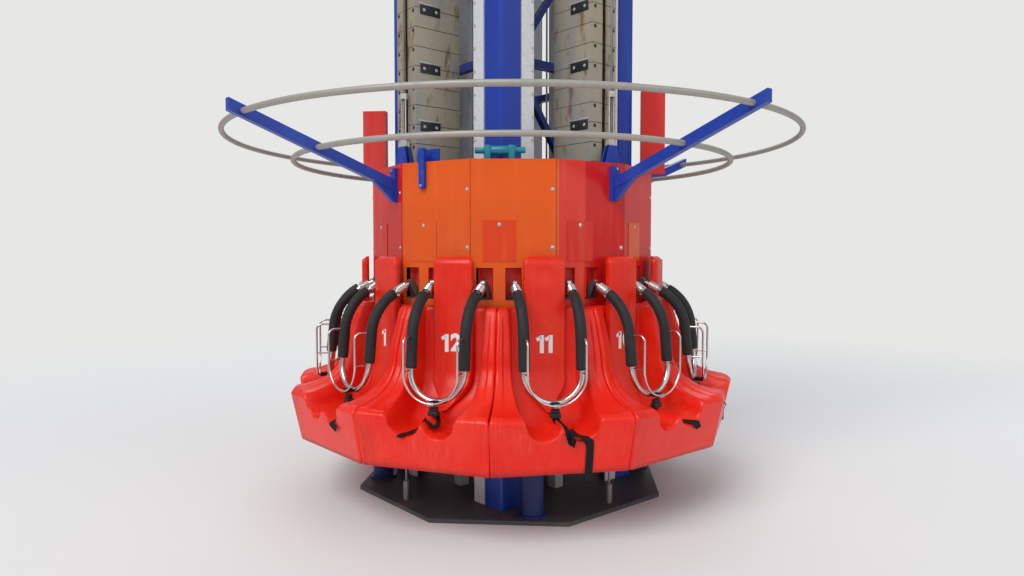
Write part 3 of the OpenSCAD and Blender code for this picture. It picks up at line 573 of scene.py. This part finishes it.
def along(path, s):
    """The point of a side view at s, on a curve that runs smoothly through its points."""
    last = len(path) - 1
    i = max(k for k in range(last) if path[k][0] <= s + 1e-9)
    s0, s1 = path[i][0], path[i + 1][0]
    t = (s - s0) / (s1 - s0)
    before, after = path[max(i - 1, 0)], path[min(i + 2, last)]
    point = []
    for axis in (0, 1):
        p0, p1 = path[i][1][axis], path[i + 1][1][axis]
        m0 = (p1 - before[1][axis]) / (s1 - before[0]) * (s1 - s0)
        m1 = (after[1][axis] - p0) / (after[0] - s0) * (s1 - s0)
        h = (2 * t**3 - 3 * t**2 + 1, t**3 - 2 * t**2 + t, -2 * t**3 + 3 * t**2, t**3 - t**2)
        point.append(h[0] * p0 + h[1] * m0 + h[2] * p1 + h[3] * m1)
    return point


def thigh_depth(side, out, s):
    """How deep the two thigh hollows are pressed into the pan."""
    off = abs(abs(side) - THIGH_SIDE)
    if off >= THIGH_R:
        return 0
    depth = math.sqrt(THIGH_R**2 - off**2)
    return depth * smooth(out, 1.075, 1.23) * (1 - smooth(s, 0.885, 0.985))


print("bell from", BELL[0][1], "to", BELL[-1][1])

# %% [markdown]
# The grid's columns are close together where the well's wall stands and where the edge between
# two seats rounds over, and far apart elsewhere. The last columns turn the edge inwards.

# %% One shell
EDGE_ANGLE = SEAT_STEP / 2 - math.radians(0.17)
EDGE_ROUND = 0.014
BEAD = 0.007
FLOOR_COLUMNS = [0.0, 0.02, 0.045, 0.07, 0.095, 0.12, 0.145, 0.165, 0.180]
WALL_COLUMNS = [0.187, 0.194, 0.201, 0.208, 0.215, 0.222, 0.229]
OUTER_SHARES = [0.15, 0.35, 0.48, 0.54, 0.58, 0.62, 0.66, 0.72, 0.85, 0.94, 1.0]
TURN_ANGLES = [22, 45, 68, 90]
TURN_DEPTH = 0.07
ROWS = 64


def surface(side, s):
    """How far out and up the moulding is, at a distance sideways and a place down its side view."""
    bell_r, bell_z = along(BELL, s)
    well_r, well_z = along(WELL, s)
    wall = smooth(abs(side), WELL_HALF - WALL, WELL_HALF + WALL)
    out = wall * bell_r + (1 - wall) * well_r
    up = wall * bell_z + (1 - wall) * well_z - (1 - wall) * thigh_depth(side, well_r, s)
    if s > 0.8:
        face = RIM_LOW_R + (up - RIM_LOW_Z) * (RIM_R - RIM_LOW_R) / (LIP_Z - RIM_LOW_Z)
        out = min(out, face)
    return out, up


def bead_at(s):
    """How high the bead beside each edge stands, at a place down the side view."""
    return BEAD * smooth(s, 0.09, 0.16) * (1 - smooth(s, 0.80, 0.88))


def shell_point(column, s):
    """A point of the moulding: column counts from the middle to one edge."""
    bell_r = along(BELL, s)[0]
    edge = bell_r * math.tan(EDGE_ANGLE) - EDGE_ROUND
    inward = 0.0
    fixed = FLOOR_COLUMNS + WALL_COLUMNS
    if column < len(fixed):
        side = fixed[column]
    elif column < len(fixed) + len(OUTER_SHARES):
        share = OUTER_SHARES[column - len(fixed)]
        side = fixed[-1] + (edge - fixed[-1]) * share
        inward = -bead_at(s) * smooth(share, 0.52, 0.68)
    else:
        turn = column - len(fixed) - len(OUTER_SHARES)
        a = math.radians(TURN_ANGLES[min(turn, len(TURN_ANGLES) - 1)])
        side = edge + EDGE_ROUND * math.sin(a)
        inward = EDGE_ROUND * (1 - math.cos(a)) - bead_at(s)
        if turn == len(TURN_ANGLES):
            inward = TURN_DEPTH * (1 - 0.55 * smooth(s, 0.90, 0.93)) * smooth(s, 0.02, 0.1)
    out, up = surface(side, s)
    ahead, behind = along(BELL, min(s + 0.01, 1)), along(BELL, max(s - 0.01, 0))
    slope_r, slope_z = (p - q for p, q in zip(ahead, behind))
    length = math.hypot(slope_r, slope_z)
    return side, out + inward * slope_z / length, up - inward * slope_r / length


def shell_mesh():
    """One seat's moulding, from its middle to both edges."""
    half = len(FLOOR_COLUMNS) + len(WALL_COLUMNS) + len(OUTER_SHARES) + len(TURN_ANGLES)

    def point(column, row):
        side, out, up = shell_point(abs(column - half), row / ROWS)
        return math.copysign(side, column - half) if column != half else 0.0, -out, up

    return placed_grid(2 * half, ROWS, point)


shell = shell_mesh()
print("one shell:", len(shell.faces), "faces")

# %% Twelve shells
shells = repeated(shell, SEAT_AZIMUTHS)
shell_piece = make_piece("moulded_shells", shells, red_shell, "gondola")
wall = shell_piece.modifiers.new("wall", "SOLIDIFY")
wall.thickness = SHELL_T
wall.offset = -1
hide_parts("seat_shells")
print("shells:", len(shell_piece.data.polygons), "faces")

# %% [markdown]
# ## Seat backs and numbers
# A padded-looking tongue stands in each well, from above the shoulders down to the crotch. Its
# section is a rounded bar, and the same side view as the well's carries it down.

# %% The tongue
TONGUE_HALF, TONGUE_T, TONGUE_TOP = 0.122, 0.047, 1.578
TONGUE_ROUND = 0.016
TONGUE_END, TONGUE_BACK_R = 0.73, 1.001
NARROWS_FROM, NARROWS_TO = 0.86, 0.705
TONGUE = [(0.00, (TONGUE_BACK_R, TONGUE_TOP)), (0.30, (TONGUE_BACK_R, 1.25)),
    (0.55, (TONGUE_BACK_R, 0.960)), (0.66, (1.012, 0.880)), (0.76, (1.046, 0.800)),
    (0.86, (1.100, 0.738)), (1.00, (1.190, 0.706))]


def section(turns, half, depth, corner):
    """A rounded bar's section: points of side and depth, with arcs at its four corners."""
    ring = []
    for cx, cy, start in ((1, 1, 0), (-1, 1, 90), (-1, -1, 180), (1, -1, 270)):
        for k in range(turns):
            a = math.radians(start + 90 * k / (turns - 1))
            ring.append((cx * (half - corner) + corner * math.cos(a),
                depth / 2 + cy * (depth / 2 - corner) + corner * math.sin(a)))
    return ring


def tongue_share(up):
    """The tongue's half width at a height, as a share of the full one: it closes to a point."""
    t = min(max((NARROWS_FROM - up) / (NARROWS_FROM - NARROWS_TO), 0), 1)
    return 1 - 0.86 * t * t * (1.35 - 0.35 * t)


def tongue_mesh(rows=44):
    """A grid wrapped round the section and led down the side view, with its ends filled."""
    ring = section(5, TONGUE_HALF, TONGUE_T, TONGUE_ROUND)

    def point(column, row):
        side, depth = ring[column % len(ring)]
        s = row / rows
        out, up = along(TONGUE, s)
        ahead, behind = along(TONGUE, min(s + 0.01, 1)), along(TONGUE, max(s - 0.01, 0))
        slope = Vector((ahead[0] - behind[0], ahead[1] - behind[1])).normalized()
        from_top = (TONGUE_TOP - up) / 0.03
        shrink = math.sqrt(max(0, 1 - (1 - min(from_top, 1)) ** 2)) if from_top < 1 else 1
        narrow = 1 - (1 - shrink) * 0.22
        thin = (0.35 + 0.65 * shrink) * (1 - smooth(s, TONGUE_END, 1.0) * 0.97)
        width = narrow * tongue_share(up)
        depth *= thin
        return side * width, -(out - depth * slope.y), up + depth * slope.x

    mesh = placed_grid(len(ring), rows, point)
    bmesh.ops.remove_doubles(mesh, verts=mesh.verts, dist=1e-5)
    bmesh.ops.holes_fill(mesh, edges=[e for e in mesh.edges if e.is_boundary])
    return mesh


tongues = repeated(tongue_mesh(), SEAT_AZIMUTHS)
tongue_piece = make_piece("seat_tongues", tongues, red_panel, "gondola")
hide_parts("seat_backs")
print("tongues:", len(tongue_piece.data.polygons), "faces")

# %% Seat numbers
NUMBER_Z, NUMBER_H, NUMBER_BOLD = 1.073, 0.136, 0.0056
CAP_H, STEM_W, PAINT_T = 0.104, 0.024, 0.0012
WIDE, NARROW = 0.082, 0.052
NUMBER_OUT = TONGUE_BACK_R + TONGUE_T + PAINT_T / 2


def glyph_mesh(character):
    """One bold figure in the XZ plane, its middle at the origin."""
    mesh = bmesh.new()
    if character == "1":
        bars = [Matrix.Translation((0.007, 0, 0)) @ Matrix.Diagonal((STEM_W, PAINT_T, CAP_H, 1)),
            Matrix.Translation((-0.010, 0, 0.034)) @ Matrix.Rotation(math.radians(-32), 4, "Y")
            @ Matrix.Diagonal((0.034, PAINT_T, 0.020, 1))]
        for bar in bars:
            bmesh.ops.create_cube(mesh, size=1, matrix=bar)
        return mesh
    text = bpy.data.curves.new("figure", "FONT")
    # A thickened 6 closes up on itself, so it is a 9 turned half round.
    text.body = "9" if character == "6" else character
    text.size = NUMBER_H
    text.align_x = "CENTER"
    text.align_y = "CENTER"
    text.extrude = PAINT_T / 2
    text.offset = NUMBER_BOLD
    source = bpy.data.objects.new("figure", text)
    data = bpy.data.meshes.new_from_object(source)
    data.transform(Matrix.Rotation(math.radians(90), 4, "X"))
    mesh.from_mesh(data)
    bpy.data.objects.remove(source)
    bpy.data.meshes.remove(data)
    if character == "6":
        heights = [v.co.z for v in mesh.verts]
        middle = Vector((0, 0, (min(heights) + max(heights)) / 2))
        bmesh.ops.rotate(mesh, verts=mesh.verts, cent=middle, matrix=Matrix.Rotation(math.pi, 3, "Y"))
    return mesh


def number_mesh(number):
    """The seat's number on the front of its back, turned to its seat."""
    figures = str(number)
    widths = [NARROW if c == "1" else WIDE for c in figures]
    mesh = bmesh.new()
    side = -sum(widths) / 2
    for character, width in zip(figures, widths):
        spot = Matrix.Translation((side + width / 2, -NUMBER_OUT, NUMBER_Z))
        add_part(mesh, glyph_mesh(character), spot)
        side += width
    return turned(mesh, seat_azimuth(number))


for number in range(1, SEATS + 1):
    make_piece(f"seat_number_{number:02d}", number_mesh(number), number_paint, "gondola",
        smooth=False)
print("numbers 1 to", SEATS)

# %% [markdown]
# ## Foam sleeves
# Each lap hoop has a foam sleeve over either tube. The sleeve's skin is a round grid bent along
# the arc of the arm and down the straight leg. Its ends are rounded over onto the tube, and the
# foam wrinkles a little on the inside of the bend.

# %% The line of an arm
BEND_FROM, LEAN, BEND_R = math.radians(62), math.radians(6), 0.300
ARM_STRAIGHT, SLEEVE_LEG = 0.136, 0.176
BEND_OUT = PIVOT_R + ARM_STRAIGHT * math.sin(BEND_FROM) - BEND_R * math.cos(BEND_FROM)
BEND_UP = PIVOT_Z - ARM_STRAIGHT * math.cos(BEND_FROM) - BEND_R * math.sin(BEND_FROM)
ARC = BEND_R * (BEND_FROM - LEAN)
SLEEVE_R, TUBE_R = 0.033, 0.0174


def arm_line(run):
    """Out, up and direction of an arm's middle line, from the start of its bend."""
    a = BEND_FROM - min(max(run, 0), ARC) / BEND_R
    out, up = BEND_OUT + BEND_R * math.cos(a), BEND_UP + BEND_R * math.sin(a)
    ahead = (math.sin(a), -math.cos(a))
    rest = run - ARC if run > ARC else min(run, 0)
    return out + rest * ahead[0], up + rest * ahead[1], ahead


print("the arm's foam ends at", [round(v, 3) for v in arm_line(ARC + SLEEVE_LEG)[:2]])

# %% Sleeves on every hoop
WRINKLE_DEPTH, WRINKLE_RUN = 0.0016, 0.0052
ROUND_END = [(0.0, TUBE_R), (0.0, 0.024), (0.0012, 0.0288), (0.0045, 0.0318), (0.010, SLEEVE_R)]


def sleeve_mesh(around=28, pitch=0.009):
    """The skin of one sleeve, in rings about pitch apart along the arm's line."""
    length = ARC + SLEEVE_LEG
    count = round((length - 0.02) / pitch)
    middle = [(0.010 + (length - 0.020) * k / count, SLEEVE_R) for k in range(1, count)]
    rows = ROUND_END + middle + [(length - run, r) for run, r in reversed(ROUND_END)]

    def point(column, row):
        turn, (run, r) = math.tau * column / around, rows[row]
        out, up, ahead = arm_line(run)
        in_bend = smooth(run, 0.02, 0.06) * (1 - smooth(run, ARC - 0.02, ARC + 0.04))
        inside = max(0, -math.cos(turn)) * in_bend
        r -= inside * WRINKLE_DEPTH * (1 + math.cos(run / WRINKLE_RUN))
        off = r * math.cos(turn)
        return r * math.sin(turn), -(out - off * ahead[1]), up + off * ahead[0]

    mesh = placed_grid(around, len(rows) - 1, point)
    bmesh.ops.remove_doubles(mesh, verts=mesh.verts, dist=1e-6)
    return mesh


sleeve = sleeve_mesh()
for number, azimuth in enumerate(SEAT_AZIMUTHS, 1):
    pair = bmesh.new()
    for side in (-ARM_SIDE, ARM_SIDE):
        add_copy(pair, sleeve, Matrix.Translation((side, 0, 0)))
    turned(pair, azimuth)
    body = f"hoop_{number:02d}_body"
    piece = make_piece(f"foam_sleeves_{number:02d}", pair, black_foam, body)
    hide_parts(f"foam_{number:02d}")
sleeve.free()
print("foam sleeves on", SEATS, "hoops")

# %% [markdown]
# ## Collars and belt loops
# A ribbed steel collar sits on each arm above the foam. A webbing loop wraps the strap plate
# between the hoop's low point and its handle. A turned part is a grid rolled about its axis.

# %% Turned parts
def lathe(profile, around=28):
    """A turned part about +Z: pairs of a radius and a height."""
    def point(column, row):
        turn, (r, h) = math.tau * column / around, profile[row]
        return r * math.cos(turn), r * math.sin(turn), h

    mesh = placed_grid(around, len(profile) - 1, point)
    bmesh.ops.remove_doubles(mesh, verts=mesh.verts, dist=1e-6)
    return mesh


def pose_of(point, direction):
    """The matrix that puts a part's foot on a point and its +Z along a direction."""
    turn = Vector(direction).to_track_quat("Z", "Y").to_matrix().to_4x4()
    return Matrix.Translation(point) @ turn


def soft_box_mesh(size, middle, corner=0.003):
    """A block with rounded edges."""
    mesh = bmesh.new()
    bmesh.ops.create_cube(mesh, size=1, matrix=Matrix.Translation(middle) @ Matrix.Diagonal((*size, 1)))
    bmesh.ops.bevel(mesh, geom=list(mesh.edges), affect="EDGES", offset=corner, segments=3, profile=0.5,
        material=-1)
    return mesh


print("turned parts ready")

# %% Collars and loops on every hoop
RIBS, RIB_PITCH, COLLAR_FROM = 8, 0.0082, 0.0515
collar_profile = [(0.0292, COLLAR_FROM)]
for k in range(RIBS):
    foot = COLLAR_FROM + k * RIB_PITCH
    collar_profile += [(0.0306, foot + 0.0008), (0.0312, foot + 0.0024), (0.0306, foot + 0.0050),
        (0.0292, foot + 0.0064)]
collar_profile.append((0.0290, COLLAR_FROM + RIBS * RIB_PITCH))
collar = lathe(collar_profile)
arm_down = (0, -math.sin(BEND_FROM), -math.cos(BEND_FROM))
LOOP_R, LOOP_Z, LOOP_SIZE = 1.309, 0.7711, (0.044, 0.052, 0.0235)
for number, azimuth in enumerate(SEAT_AZIMUTHS, 1):
    ribs = bmesh.new()
    for side in (-ARM_SIDE, ARM_SIDE):
        add_copy(ribs, collar, pose_of((side, -PIVOT_R, PIVOT_Z), arm_down))
    body = f"hoop_{number:02d}_body"
    turned(ribs, azimuth)
    sharpen(make_piece(f"arm_collars_{number:02d}", ribs, stainless, body))
    loop = turned(soft_box_mesh(LOOP_SIZE, (0, -LOOP_R, LOOP_Z)), azimuth)
    make_piece(f"belt_loop_{number:02d}", loop, webbing, body)
collar.free()
print("collars and loops on", SEATS, "hoops")

# %% [markdown]
# ## Belts
# Every seat has a flat nylon belt at its buckle, and its loose tail lies on the moulding: crumpled
# on the pan in some seats, and over the rim in others. A tail is a ribbon laid on the same surface
# as the shell, a little above it.

# %% Ribbons on the moulding
BELT_W, BELT_T, ACROSS = 0.042, 0.0032, 4


def on_shell(side, s, lift):
    """A point above the moulding at the front, and the direction away from it."""
    out, up = surface(side, s)
    low, high = surface(side, max(s - 0.012, 0)), surface(side, min(s + 0.012, 1))
    slope = Vector((high[0] - low[0], high[1] - low[1])).normalized()
    away = Vector((0, slope.y, slope.x))
    return Vector((side, -out, up)) + away * lift, away


def spaced(stops, count):
    """Count + 1 points on a smooth line through stops, each a tuple of numbers."""
    line = []
    for k in range(count + 1):
        place_on = k / count * (len(stops) - 1)
        i = min(int(place_on), len(stops) - 2)
        t = place_on - i
        p0, p1, p2, p3 = stops[max(i - 1, 0)], stops[i], stops[i + 1], stops[min(i + 2, len(stops) - 1)]
        line.append(tuple(0.5 * (2 * b + (c - a) * t + (2 * a - 5 * b + 4 * c - d) * t**2
            + (3 * b - a - 3 * c + d) * t**3) for a, b, c, d in zip(p0, p1, p2, p3)))
    return line


def ribbon_mesh(stops, count=48):
    """A flat belt through stops of side, s, lift and twist in degrees."""
    line = [(on_shell(side, min(s, 1), lift), s, twist) for side, s, lift, twist in spaced(stops, count)]
    points = [p - Vector((0, 0, max(s - 1, 0))) for (p, _), s, _ in line]

    def point(k, row):
        ahead = (points[min(k + 1, count)] - points[max(k - 1, 0)]).normalized()
        across = ahead.cross(line[k][0][1]).normalized()
        across = Matrix.Rotation(math.radians(line[k][2]), 3, ahead) @ across
        return points[k] + across * ((row / ACROSS - 0.5) * BELT_W)

    mesh = placed_grid(count, ACROSS, point)
    bmesh.ops.solidify(mesh, geom=list(mesh.faces), thickness=BELT_T)
    return mesh


AT_BUCKLE = (0.0, 0.765, 0.006, 0)
OVER_RIM = [(0.0, 0.775, 0.006, 0), (0.020, 0.81, 0.014, 15), (0.030, 0.855, 0.016, -20),
    (0.062, 0.872, 0.022, 30), (0.040, 0.850, 0.040, 60), (0.090, 0.846, 0.030, -12),
    (0.135, 0.862, 0.014, 6), (0.148, 0.90, 0.006, 0), (0.150, 0.95, 0.006, 0), (0.149, 1.0, 0.010, 0),
    (0.146, 1.035, 0.014, 8)]
ON_PAN = [AT_BUCKLE, (0.030, 0.785, 0.018, 20), (0.034, 0.805, 0.026, -30),
    (-0.012, 0.815, 0.020, 25), (-0.060, 0.818, 0.016, -10), (-0.110, 0.832, 0.014, 14),
    (-0.118, 0.856, 0.010, 0)]
TO_THE_SIDE = [AT_BUCKLE, (0.026, 0.78, 0.020, 14), (0.066, 0.80, 0.014, -12),
    (0.106, 0.83, 0.014, 6), (0.138, 0.862, 0.012, 0), (0.160, 0.892, 0.010, -8), (0.170, 0.915, 0.014, 6)]
SHORT_RIM = [AT_BUCKLE, (-0.03, 0.79, 0.016, 12), (-0.05, 0.83, 0.018, -20),
    (-0.045, 0.87, 0.012, 10), (-0.04, 0.91, 0.008, 0), (-0.036, 0.955, 0.014, 12)]
TAILS = {11: OVER_RIM, 12: ON_PAN, 10: TO_THE_SIDE, 9: SHORT_RIM, 1: TO_THE_SIDE, 2: SHORT_RIM, 3: ON_PAN,
    4: OVER_RIM, 5: SHORT_RIM, 6: TO_THE_SIDE, 7: ON_PAN, 8: OVER_RIM}
CLIP_OUT, CLIP_Z, TAB_Z = 1.300, 0.711, 0.736
for number, stops in TAILS.items():
    clip = soft_box_mesh((0.060, 0.042, 0.026), (0, -CLIP_OUT, CLIP_Z), 0.005)
    add_part(clip, soft_box_mesh((0.048, 0.030, 0.018), (0, -CLIP_OUT, TAB_Z), 0.004))
    turned(clip, seat_azimuth(number))
    make_piece(f"belt_clip_{number:02d}", clip, black_plastic, "gondola")
    tail = turned(ribbon_mesh(stops), seat_azimuth(number))
    make_piece(f"belt_tail_{number:02d}", tail, webbing, "gondola")
print("belt clips and tails:", len(TAILS))

# %% [markdown]
# ## Bolts and small fittings
# Bolt heads show where sheets meet, where the ring arms stand and along the rails. Each is a copy
# of one hexagon or dome, put on its spot and turned to face away from the surface.

# %% Bolts of the gondola
dome = lathe([(0.0001, 0.0070), (0.0040, 0.0064), (0.0072, 0.0045), (0.0090, 0.0015),
    (0.0125, 0.0012), (0.0125, -0.0005)], 16)
hexagon = bmesh.new()
bmesh.ops.create_cone(hexagon, cap_ends=True, segments=6, radius1=0.0105, radius2=0.0100, depth=0.008,
    matrix=Matrix.Translation((0, 0, 0.004)))


def facing(azimuth, side, out, up):
    """The matrix of a bolt that faces outwards on a flat face at that azimuth."""
    return pose_of(place(azimuth, side, out, up), place(azimuth, 0, 1, 0))


bolts = bmesh.new()
SEAM_SIDE, SEAM_UPS = FACET_R * math.tan(SEAT_STEP / 2 - math.radians(1.3)), (1.972, 1.632)
HATCH_SIDE, HATCH_OUT, HATCH_UP = -FACET_R * math.tan(math.radians(5)), FACET_R + 0.0043, 1.766
FOOT_OUT, FOOT_UPS = 0.983, (1.938, 2.112)
LATCH_SIDE, LATCH_OUT, LATCH_UP = -0.082, FACET_R + 0.0263, 2.005
for k in range(SEATS):
    facet = FACET_AZIMUTH + k * SEAT_STEP
    for up in SEAM_UPS:
        add_copy(bolts, dome, facing(facet, SEAM_SIDE, FACET_R, up))
    add_copy(bolts, dome, facing(facet, HATCH_SIDE, HATCH_OUT, HATCH_UP))
for face in FACE_AZIMUTHS:
    for up in FOOT_UPS:
        add_copy(bolts, hexagon, facing(face, 0, FOOT_OUT, up))
for half_turn in (0, math.pi):
    add_copy(bolts, hexagon, facing(FACET_AZIMUTH + half_turn, LATCH_SIDE, LATCH_OUT, LATCH_UP))
dome.free()
hexagon.free()
sharpen(make_piece("gondola_bolts", bolts, zinc, "gondola"))
print("gondola bolts ready")

# %% Bolts and holes of the tower
RAIL_OUT, RAIL_SIDE, BOLT_FROM, BOLT_PITCH, TOWER_TOP = 0.600, 0.349, 0.2, 0.140, 29.6
rail_bolt = bmesh.new()
bmesh.ops.create_cone(rail_bolt, cap_ends=True, segments=8, radius1=0.0125, radius2=0.0095, depth=0.005,
    matrix=Matrix.Translation((0, 0, 0.0025)))
one_face = bmesh.new()
for side in (-RAIL_SIDE, RAIL_SIDE):
    for k in range(int((TOWER_TOP - BOLT_FROM) / BOLT_PITCH)):
        add_copy(one_face, rail_bolt, facing(0, side, RAIL_OUT, BOLT_FROM + k * BOLT_PITCH))
rail_bolt.free()
tower_bolts = repeated(one_face, FACE_AZIMUTHS)
make_piece("rail_bolts", tower_bolts, cream_bolts, "tower", smooth=False)

# The holes in the brake flanges are thin black discs: painted shade for the dark inside of each hole.
HOLE_SIDE, HOLE_OUT, HOLE_PITCH, BRAKE_FROM, BRAKE_H = 0.082, 0.8752, 0.120, 0.40, 6.6
disc = bmesh.new()
bmesh.ops.create_cone(disc, cap_ends=True, segments=12, radius1=0.012, radius2=0.012, depth=0.0008)
holes = bmesh.new()
for face in FACE_AZIMUTHS:
    for side in (-HOLE_SIDE, HOLE_SIDE):
        for step in range(int(BRAKE_H / HOLE_PITCH)):
            up = BRAKE_FROM + (step + 0.5) * HOLE_PITCH
            add_copy(holes, disc, facing(face, side, HOLE_OUT, up))
disc.free()
make_piece("flange_holes", holes, black_plastic, "tower", smooth=False)

# Every third block of a column has a dark clamp with a pale ledge and two bolts on either side.
BRAKE_HALF, CLAMP_OUT, CLAMP_PITCH, CLAMP_T = 0.105, 0.765, 0.360, 0.004
CLAMP_FROM, LEDGE_ABOVE, CLAMP_BOLT_SIDE = 0.19, 0.036, 0.045
clamp_bolt = lathe([(0.0001, 0.0016), (0.0080, 0.0016), (0.0100, 0.0), (0.0100, -0.001)], 12)
clamps, ledges = bmesh.new(), bmesh.new()
for way in (-1, 1):
    side = way * (BRAKE_HALF + CLAMP_T / 2)
    for step in range(int(BRAKE_H / CLAMP_PITCH)):
        up = BRAKE_FROM + CLAMP_FROM + step * CLAMP_PITCH
        add_part(clamps, soft_box_mesh((CLAMP_T, 0.150, 0.058), (side, -CLAMP_OUT, up), 0.0012))
        above = (side, -CLAMP_OUT, up + LEDGE_ABOVE)
        add_part(ledges, soft_box_mesh((CLAMP_T + 0.001, 0.170, 0.010), above, 0.0015))
        for out in (CLAMP_OUT - CLAMP_BOLT_SIDE, CLAMP_OUT + CLAMP_BOLT_SIDE):
            spot = pose_of((way * (BRAKE_HALF + CLAMP_T), -out, up), (way, 0, 0))
            add_copy(ledges, clamp_bolt, spot)
clamp_bolt.free()
clamps, ledges = repeated(clamps, FACE_AZIMUTHS), repeated(ledges, FACE_AZIMUTHS)
sharpen(make_piece("brake_clamps", clamps, black_plastic, "tower"))
sharpen(make_piece("brake_ledges", ledges, galvanised, "tower"))
print("tower bolts and holes ready")

# %% [markdown]
# The drum is open for each arm. Behind every opening is a red pocket, and on the drum's top plate
# a teal fitting lies across two corners of the tower.

# %% Pockets and corner fittings
teal = paint_finish("teal_paint", (0.008, 0.20, 0.27), (0.04, 0.28, 0.34), 0.35, 0.3)
POCKET_OUT, POCKET_UP, POCKET_SIZE = 0.908, 1.421, (0.090, 0.044, 0.176)
pockets, pocket = bmesh.new(), bmesh.new()
bmesh.ops.create_cube(pocket, size=1,
    matrix=Matrix.Translation((0, -POCKET_OUT, POCKET_UP)) @ Matrix.Diagonal((*POCKET_SIZE, 1)))
front = min(pocket.faces, key=lambda f: f.calc_center_median().y)
bmesh.ops.delete(pocket, geom=[front], context="FACES")
for azimuth in SEAT_AZIMUTHS:
    for side in (-ARM_SIDE, ARM_SIDE):
        add_copy(pockets, pocket, Matrix.Rotation(azimuth, 4, "Z") @ Matrix.Translation((side, 0, 0)))
pocket.free()
make_piece("arm_pockets", pockets, red_paint, "gondola", smooth=False)

fittings = bmesh.new()
half_rod = [(0.0001, 0.150), (0.016, 0.150), (0.018, 0.147), (0.018, 0.098), (0.026, 0.095), (0.028, 0.092)]
rod = lathe([(r, -h) for r, h in half_rod] + half_rod[::-1], 24)
FITTING_OUT, ROD_UP, BLOCK_UP, BLOCK_SIDE = 0.895, 2.204, 2.191, 0.070
for corner in (math.radians(45), math.radians(225)):
    add_copy(fittings, rod, pose_of(place(corner, 0, FITTING_OUT, ROD_UP), place(corner, 1, 0, 0)))
    for side in (-BLOCK_SIDE, BLOCK_SIDE):
        block = soft_box_mesh((0.034, 0.070, 0.082), (side, -FITTING_OUT, BLOCK_UP))
        add_part(fittings, block, Matrix.Rotation(corner, 4, "Z"))
rod.free()
sharpen(make_piece("corner_fittings", fittings, teal, "gondola"))
print("pockets and fittings ready")

# %% [markdown]
# ## Stage, light and camera
# A pale floor that fades into the background and broad soft lights show the colours as they are.
# The camera stands where the photographer of the close picture stood.

# %% Stage
FLOOR_HALF, FLOOR_FADE, FLOOR_DROP = 16, (5.0, 12.0), 0.002
PALE = (0.80, 0.80, 0.79)
floor_mesh = bmesh.new()
bmesh.ops.create_grid(floor_mesh, x_segments=1, y_segments=1, size=FLOOR_HALF)
floor_data = bpy.data.meshes.new("floor")
floor_mesh.to_mesh(floor_data)
floor_mesh.free()
floor = in_scene("floor", floor_data)
floor.location.z = -FLOOR_DROP
floor_finish = Finish("floor", PALE, Roughness=0.9)
_, floor_x, floor_y, _ = floor_finish.position()
from_axis = (floor_x * floor_x + floor_y * floor_y) ** 0.5
floor_finish.set(Alpha=1.0 - floor_finish.between(from_axis, *FLOOR_FADE))
floor_data.materials.append(floor_finish.material)
print("floor at", floor.location.z)

# %% Light
world = bpy.data.worlds.new("studio")
bpy.context.scene.world = world
world.use_nodes = True
tree = world.node_tree
background = tree.nodes["Background"]
seen = tree.nodes.new("ShaderNodeBackground")
seen.inputs["Color"].default_value = (*PALE, 1)
background.inputs["Color"].default_value = (0.90, 0.93, 1.0, 1)
background.inputs["Strength"].default_value = 0.42
rays = tree.nodes.new("ShaderNodeLightPath")
pick = tree.nodes.new("ShaderNodeMixShader")
for k, output in enumerate((rays.outputs["Is Camera Ray"], background.outputs[0], seen.outputs[0])):
    tree.links.new(output, pick.inputs[k])
tree.links.new(pick.outputs[0], tree.nodes["World Output"].inputs["Surface"])


def soft_sun(name, azimuth, elevation, strength, softness):
    """A broad, even light that reaches the whole height of the tower."""
    lamp = bpy.data.lights.new(name, "SUN")
    lamp.energy = strength
    lamp.angle = math.radians(softness)
    a, e = math.radians(azimuth), math.radians(elevation)
    towards = place(a, 0, math.cos(e), math.sin(e))
    in_scene(name, lamp).rotation_euler = (-towards).to_track_quat("-Z", "Y").to_euler()


soft_sun("key", 15, 45, 1.9, 40)
soft_sun("fill", 100, 28, 0.6, 60)
soft_sun("back", 230, 38, 0.5, 50)
print("lamps ready")

# %% Camera
CAMERA_AZIMUTH, CAMERA_OUT, CAMERA_UP = math.radians(49.5), 5.31, 1.6
CAMERA_TILT, LENS = math.radians(-2.7), 26.15
camera_data = bpy.data.cameras.new("camera")
camera_data.lens = LENS
camera = in_scene("camera", camera_data)
camera.location = place(CAMERA_AZIMUTH, 0, CAMERA_OUT, CAMERA_UP)
camera.rotation_euler = (math.radians(90) + CAMERA_TILT, 0, CAMERA_AZIMUTH)
bpy.context.scene.camera = camera
bpy.context.scene.view_settings.view_transform = "Standard"
print("camera at", [round(v, 2) for v in camera.location])
